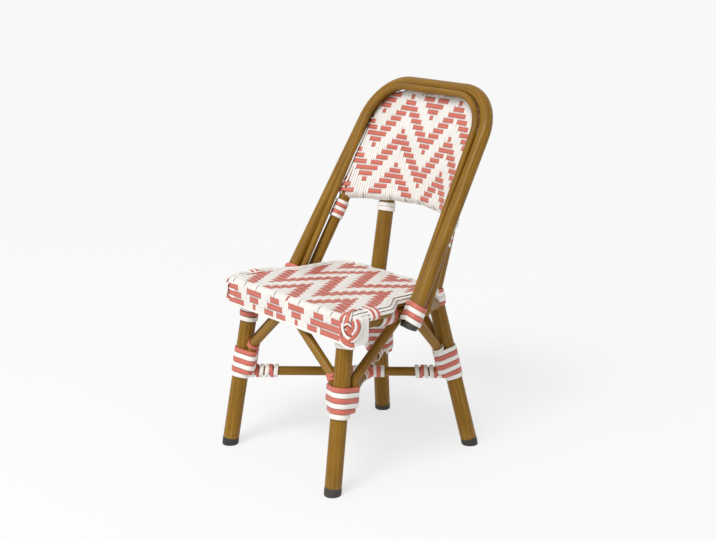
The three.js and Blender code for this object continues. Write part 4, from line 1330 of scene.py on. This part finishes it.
def buildHoopLashings():
    for handWord, hand in sideOf.items():
        origin, axis, outer = base = stileOf(outerLine, hand)
        across = axis.cross(outer)
        behind = math.pi / 2 * hand + 0.2 * math.pi

        def bundle(height):
            bead = onStile(beadLine, hand, height) - origin
            radius = hoopFoot["beadRadius" if height > hoopFoot["capHeight"] else "capRadius"]
            return [(0, 0, chair["hoopTube"] / 2), (bead.dot(outer), bead.dot(across), radius)]

        shapes = newPair()
        pitch = hoopFoot["pitch"]
        for index, colour in enumerate(("white", "coral")):
            stepped = steppedLevel(hoopFoot["start"] + pitch * (index + 0.5), 2 * pitch)

            def level(turns):
                return stepped(turns) - hoopFoot["slant"] * math.cos(behind + 2 * math.pi * turns)

            addWound(shapes[colour], hoopFoot["section"], base, bundle, level, 2.0,
                     first=behind, clear=hoopFoot["clear"])
        # the strands go on round the side rail in front of it, slanting
        for index, colour in enumerate(("white", "coral", "white", "coral")):
            y = hoopFoot["railFrom"] + hoopFoot["railPitch"] * index
            rail = vec(hand * chair["sideRailHalf"], y, chair["railHeight"]), vec(0, 1, 0), vec(hand, 0, 0)
            level = slantedLevel(0, hoopFoot["railSlant"] * hand, math.sin)
            addWound(shapes[colour], hoopFoot["railSection"], rail, railBundle, level, 1.04)
        finishPair(shapes, "hoop_foot_" + handWord, {
            colour: [f"hoop_lashing_{handWord}_{colour}"] for colour in ("coral", "white")})


innerWraps = {"below": 45.4, "from": -1, "pitch": 6.6, "section": (6.5, 2.2)}


def buildInnerHoopWraps():
    foot = back["panelFoot"] - innerWraps["below"]
    for handWord, hand in sideOf.items():
        base = stileOf(innerLine, hand, foot, back["panelFoot"])
        shapes = newPair()
        for index, colour in enumerate(("white", "coral", "white", "coral", "white")):
            level = steppedLevel(innerWraps["from"] + innerWraps["pitch"] * index, 0.8)
            addWound(shapes[colour], innerWraps["section"], base, innerBundle, level, 1.04, thick=2.2,
                     first=math.pi / 2 * hand)
        finishPair(shapes, "inner_hoop_" + handWord, {"coral": ["inner_hoop_wrap_" + handWord], "white": ()}, True)


# borders and knots of the seat

border = {
    "strands": [(-8.8, 1.9), (-4.0, 3.2), (0.8, 3.6), (5.6, 2.9), (10.2, 1.7)], "wide": 4.9, "thick": 1.5,
    "strapAt": (-107.2, -102.2, -97.2, -92.2), "strapSection": (4.8, 1.7),
    "strapReach": {1: (-20, 16, 4.9), -1: (-8, 16, 4.4)},  # by side: inner end, outer end and lift
    "flapStrands": (2.2, 6.6, 11.0, 15.4, 19.6, 21.7, 23.8), "flapSection": (4.3, 1.5),
    "bandDepths": (12.8, 25.0, 37.2), "bandSection": (3.6, 1.2), "footDepth": 49.6, "footSection": (4.6, 2.0),
}


def spread(points, gap):
    # the same line in equal steps
    result = [points[0].copy()]
    left = gap
    for a, b in zip(points, points[1:]):
        run = (b - a).length
        while run >= left and run > 1e-9:
            a = a.lerp(b, left / run)
            run = (b - a).length
            result.append(a.copy())
            left = gap
        left -= run
    return result


def sideRun(hand):
    # places along one side of the seat's middle line, each with its way out
    points = [p for p in seatEdge if p.x > 0 and -138 < p.y < 82]
    points = spread([vec(p.x * hand, p.y, 0) for p in points], 3.0)
    line = []
    for index, point in enumerate(points):
        run = (points[min(index + 1, len(points) - 1)] - points[max(index - 1, 0)]).normalized()
        way = vec(-run.y, run.x, 0) * hand
        line.append((point, way if way.x * hand > 0 or abs(way.x) < 1e-6 else -way))
    return line


def layOn(spot, flats, lifts):
    flats, lifts = np.array(flats, float), np.array(lifts, float)
    places, above = spot(flats, lifts), spot(flats, lifts + 1.0)
    return [(Vector(p), Vector(q - p).normalized()) for p, q in zip(places, above)]


def dive(index, count, run, depth):
    # ends of a strand go under
    return depth * (1 - min(1, min(index, count - 1 - index) / run)) ** 2


def addSeatBorder(shapes, hand):
    line = sideRun(hand)
    count = len(line)
    for number, (offset, lift) in enumerate(border["strands"]):
        flats = [(p.x + n.x * offset, p.y + n.y * offset) for p, n in line]
        lifts = [lift + 0.15 * math.sin(index * 0.9 + number) - dive(index, count, 4, 2.2) for index in range(count)]
        addStrand(shapes["white"], layOn(seatSpot, flats, lifts), border["wide"], border["thick"])
    inner, outer, lift = border["strapReach"][hand]
    for number, y in enumerate(border["strapAt"]):
        point, way = min(line, key=lambda item: abs(item[0].y - y))
        reach = [inner + (outer - inner) * index / 20 for index in range(21)]
        flats = [(point.x + way.x * d, y + way.y * d) for d in reach]
        lifts = [lift - dive(index, 21, 3, 4.0) for index in range(21)]
        addStrand(shapes["coral" if number % 2 else "white"], layOn(seatSpot, flats, lifts), *border["strapSection"])


def addOnApron(shapes, u, depth, lifts, section):
    count = len(lifts)
    flats = apronFlat(np.broadcast_to(u, count), np.broadcast_to(depth, count))
    addStrand(shapes["white"], layOn(seatSpot, flats, lifts), *section)


def addApronBands(shapes):
    # white strands that lie level between the coral ones, where the corners turn, and along the foot
    reach = apronReach()
    for depth in border["bandDepths"]:
        for hand in (-1, 1):
            lifts = [0.9 - dive(index, 30, 3, 3.0) for index in range(30)]
            u = hand * np.linspace(weave["cornerFrom"] + 1, reach, 30)
            addOnApron(shapes, u, depth, lifts, border["bandSection"])
    for hand in (-1, 1):
        for away in border["flapStrands"]:
            lifts = [1.9 - dive(index, 24, 3, 2.5) for index in range(24)]
            addOnApron(shapes, hand * (reach - away), np.linspace(3, 50, 24), lifts, border["flapSection"])
    lifts = [0.7 + 0.12 * math.sin(index * 0.7) - dive(index, 170, 3, 3.0) for index in range(170)]
    addOnApron(shapes, np.linspace(-reach, reach, 170), border["footDepth"], lifts, border["footSection"])


def cornerSpot(hand, u, w, lift):
    # u runs round the front corner from its middle towards the side, w is the height, and goes on over the top
    bend = seat["frontCorner"]
    centre = vec(hand * (seat["frontHalf"] - bend), -seat["front"] + bend, 0)
    turn = clamp(u / (bend + lift), -math.pi / 4, math.pi / 4)
    rest = u - turn * (bend + lift)
    way = vec(hand * math.sin(math.pi / 4 + turn), -math.cos(math.pi / 4 + turn), 0)
    run = vec(hand * math.cos(math.pi / 4 + turn), math.sin(math.pi / 4 + turn), 0)
    ring = bend - seat["edge"]
    if w <= chair["ringHeight"]:
        return centre + way * (bend + lift) + run * rest + vec(0, 0, w), way
    radius = seat["edge"] + lift
    over = (w - chair["ringHeight"]) / radius
    roll = min(over, math.pi / 2)
    inward = (over - roll) * radius
    out = way * math.cos(roll) + vec(0, 0, 1) * math.sin(roll)
    return centre + way * (ring - inward) + run * rest + vec(0, 0, chair["ringHeight"]) + out * radius, out


knot = {
    # colour, width, lift, then the line as pairs of distance round the corner and height
    "bands": [
        ("coral", 6.4, 2.6, [(-12.5, 320), (-15.0, 310), (-16.6, 300), (-17.4, 290), (-17.6, 279), (-17.2, 268),
                             (-13.0, 261), (-4.5, 256.5), (5.5, 252)]),
        ("white", 3.6, 1.8, [(-12.2, 314), (-11.4, 304), (-10.8, 297), (-10.8, 289)]),
        ("coral", 6.0, 4.4, [(-11.5, 332), (-6.5, 323), (-4.5, 312), (-3.8, 300), (-5.0, 291), (-6.2, 286)]),
        ("white", 4.4, 3.4, [(-5.5, 331), (-0.4, 321), (1.0, 311), (0.4, 300), (-0.6, 292)]),
        ("white", 4.4, 2.0, [(20.0, 297), (22.3, 288), (20.0, 278), (14.5, 269), (6.8, 261.8), (-0.4, 259)]),
        ("coral", 5.4, 3.0, [(12.0, 294), (15.0, 285), (13.4, 277), (8.9, 270), (2.4, 264), (-6.0, 261.3),
                             (-11.0, 264)]),
        ("white", 4.8, 2.4, [(8.4, 292), (9.6, 282), (6.0, 275), (1.8, 270)]),
        ("coral", 4.6, 2.8, [(4.6, 292), (5.2, 285), (3.8, 279), (1.6, 273.5)]),
        ("coral", 6.6, 2.2, [(-4.3, 286), (-2.1, 279.4), (0.1, 273.8), (1.3, 269.5)]),
        ("white", 4.6, 3.2, [(-12.4, 289), (-12.8, 281), (-10.3, 272.6), (-4.4, 266.5), (1.0, 264.5)]),
        ("white", 2.6, 4.6, [(-9.6, 285), (-5.3, 289), (-1.0, 288), (2.2, 284)]),
        ("white", 4.2, 1.2, [(-20.0, 260), (-13.1, 253.4), (-2.0, 248.8), (6.0, 248)]),
    ],
}


def addKnot(shapes, hand):
    for colour, wide, lift, line in knot["bands"]:
        if hand < 0 and (line[0][1] > 305 or line[0][0] < -15):
            continue  # the left corner is tied flat on top
        line = smoothLine(line, 5)
        stations = []
        for index, (u, w) in enumerate(line):
            stations.append(cornerSpot(hand, u, w, lift - dive(index, len(line), 3, 2.4)))
        addStrand(shapes[colour], stations, wide, 1.9)


def smoothLine(points, steps):
    # a line through all the points without corners
    result = []
    for index in range(len(points) - 1):
        p0, p1 = points[max(index - 1, 0)], points[index]
        p2, p3 = points[index + 1], points[min(index + 2, len(points) - 1)]
        for step in range(steps):
            t = step / steps
            result.append(tuple(
                0.5 * (2 * b + (c - a) * t + (2 * a - 5 * b + 4 * c - d) * t * t + (3 * b - a - 3 * c + d) * t ** 3)
                for a, b, c, d in zip(p0, p1, p2, p3)))
    return result + [tuple(points[-1])]


def buildSeatTrim():
    shapes = newPair()
    for hand in (-1, 1):
        addSeatBorder(shapes, hand)
        addKnot(shapes, hand)
    addApronBands(shapes)
    finishPair(shapes, "seat_trim", {"coral": (), "white": ()})


crossingKnot = {"from": 17, "pitch": 6.9, "section": (6.7, 2.0), "ringSection": (6.4, 2.0), "ringHalf": 3.4}


def buildCrossingKnot():
    shapes = newPair()
    for leg in legs.values():
        base = crossing, (stretcherEnd(leg) - crossing).normalized(), vec(0, 0, 1)
        for index, colour in enumerate(("white", "coral", "white")):
            level = steppedLevel(crossingKnot["from"] + crossingKnot["pitch"] * index, 0.8)
            addWound(shapes[colour], crossingKnot["section"], base, thinBundle, level, 1.04, thick=2.0, sink=1.6)
    # two rings over the crossing in each direction
    arm = stretcherEnd(legs["front_right"]) - crossing
    half = math.atan2(abs(arm.y), abs(arm.x))
    for colour, flat, aside, opening, rise in [
            ("coral", vec(1, 0, 0), vec(0, 1, 0), half, 11.4),
            ("white", vec(0, 1, 0), vec(1, 0, 0), math.pi / 2 - half, 13.6)]:
        reach = (4 + 8 / math.cos(opening)) / math.tan(opening) + 3.4
        for row in (-1, 1):
            stations = []
            for index in range(41):
                cosine, sine = math.cos(2 * math.pi * index / 40), math.sin(2 * math.pi * index / 40)
                place = crossing + flat * cosine * reach + vec(0, 0, rise * sine)
                place += aside * row * crossingKnot["ringHalf"]
                stations.append((place, flat * cosine + vec(0, 0, sine)))
            addStrand(shapes[colour], stations, *crossingKnot["ringSection"])
    finishPair(shapes, "crossing", {colour: ["crossing_wrap_" + colour] for colour in ("coral", "white")})


buildLegs()
buildFootCaps()
buildRails()
buildBraces()
buildHoops()
buildPlugs()
buildSeatRing()
print("stage: frame tubes made")
buildSeatWeave()
buildBackWeave()
print("stage: weave made")
buildLegLashings()
buildFrontLegWraps()
buildKneeWraps()
buildHoopLashings()
buildInnerHoopWraps()
buildCrossingKnot()
buildSeatTrim()
print("stage: lashings made")


# floor, lights and camera

studio = {
    "floorColour": 0.93, "floorSize": 60.0, "worldLevel": 0.46, "sunLevel": 1.6, "sunSoftness": 24.0,
    "boxLevel": 9.0, "boxSize": 1.1, "glow": 0.66,
}
view = {
    "azimuth": 51.1, "elevation": 14.1, "distance": 2.3713, "lens": 70.06, "centre": (0, -10.388, 318.2), "aside": 5.6,
}


def seenDirectly(tree):
    # one where a ray comes from the camera, a gloss or a pane, else nothing
    path = addNode(tree, "ShaderNodeLightPath").outputs
    seen = calc(tree, "MAXIMUM", path["Is Camera Ray"], path["Is Glossy Ray"])
    return calc(tree, "MAXIMUM", seen, path["Is Transmission Ray"])


def buildFloor():
    bm = bmesh.new()
    bmesh.ops.create_grid(bm, x_segments=1, y_segments=1, size=studio["floorSize"] / 2)
    mesh = bpy.data.meshes.new("studioFloor")
    bm.to_mesh(mesh)
    bm.free()
    floor = bpy.data.objects.new("studioFloor", mesh)
    scene.collection.objects.link(floor)
    material, tree, shader, place = newMaterial("palePaper")
    darker, paler = ((level, level, level, 1) for level in (studio["floorColour"], studio["floorColour"] + 0.01))
    share = mapRange(tree, noiseOn(tree, place, 3.0, 2.0, 0.5), 0.3, 0.7)
    plug(tree, shader.inputs["Base Color"], blendColour(tree, share, darker, paler))
    shader.inputs["Roughness"].default_value = 0.9
    shader.inputs["Specular IOR Level"].default_value = 0.1
    # the paper looks white to the camera and still takes the chair's shadow
    glow = addNode(tree, "ShaderNodeEmission")
    glow.inputs["Strength"].default_value = 1.0
    both = addNode(tree, "ShaderNodeMixShader")
    plug(tree, both.inputs[0], calc(tree, "MULTIPLY", seenDirectly(tree), studio["glow"]))
    plug(tree, both.inputs[1], shader.outputs[0])
    plug(tree, both.inputs[2], glow.outputs[0])
    plug(tree, tree.nodes["Material Output"].inputs[0], both.outputs[0])
    layOut(tree.nodes["Material Output"])
    mesh.materials.append(material)


def viewWays():
    # level ways to the right of the picture and towards the camera
    turn = math.radians(view["azimuth"])
    return vec(math.cos(turn), math.sin(turn), 0), vec(math.sin(turn), -math.cos(turn), 0)


def addLamp(name, kind, level, direction):
    light = bpy.data.lights.new(name, kind)
    light.energy = level
    lamp = bpy.data.objects.new(name, light)
    scene.collection.objects.link(lamp)
    lamp.rotation_euler = direction.to_track_quat("Z", "Y").to_euler()
    return light, lamp


def buildLights():
    world = bpy.data.worlds.new("studioWorld")
    scene.world = world
    world.use_nodes = True
    tree = world.node_tree
    tree.nodes.clear()
    output = addNode(tree, "ShaderNodeOutputWorld")
    background = addNode(tree, "ShaderNodeBackground")
    background.inputs[0].default_value = (1, 1, 1, 1)
    plug(tree, background.inputs[1], mapRange(tree, seenDirectly(tree), 0.0, 1.0, studio["worldLevel"], 1.0))
    plug(tree, output.inputs[0], background.outputs[0])
    layOut(output)
    right, near = viewWays()
    sun, lamp = addLamp("softSun", "SUN", studio["sunLevel"], right * -0.4 + near * 0.8 + vec(0, 0, 1.2))
    sun.angle = math.radians(studio["sunSoftness"])
    place = right * -1.3 + near * 1.3 + vec(0, 0, 1.2)
    box, lamp = addLamp("softBox", "AREA", studio["boxLevel"], place - vec(0, 0, 0.3))
    box.shape = "RECTANGLE"
    box.size, box.size_y = studio["boxSize"], studio["boxSize"] * 1.2
    lamp.location = place


def buildCamera():
    rise = math.radians(view["elevation"])
    right, near = viewWays()
    behind = near * math.cos(rise) + vec(0, 0, math.sin(rise))
    target = (vec(*view["centre"]) + right * view["aside"]) / 1000
    lens = bpy.data.cameras.new("photoCamera")
    lens.lens = view["lens"]
    lens.sensor_width = 36
    lens.sensor_fit = "HORIZONTAL"
    lens.clip_end = 100
    camera = bpy.data.objects.new("photoCamera", lens)
    scene.collection.objects.link(camera)
    camera.location = target + behind * view["distance"]
    camera.rotation_euler = behind.to_track_quat("Z", "Y").to_euler()
    scene.camera = camera


buildFloor()
buildLights()
buildCamera()
scene.view_settings.view_transform = "Standard"
print("stage: studio made")
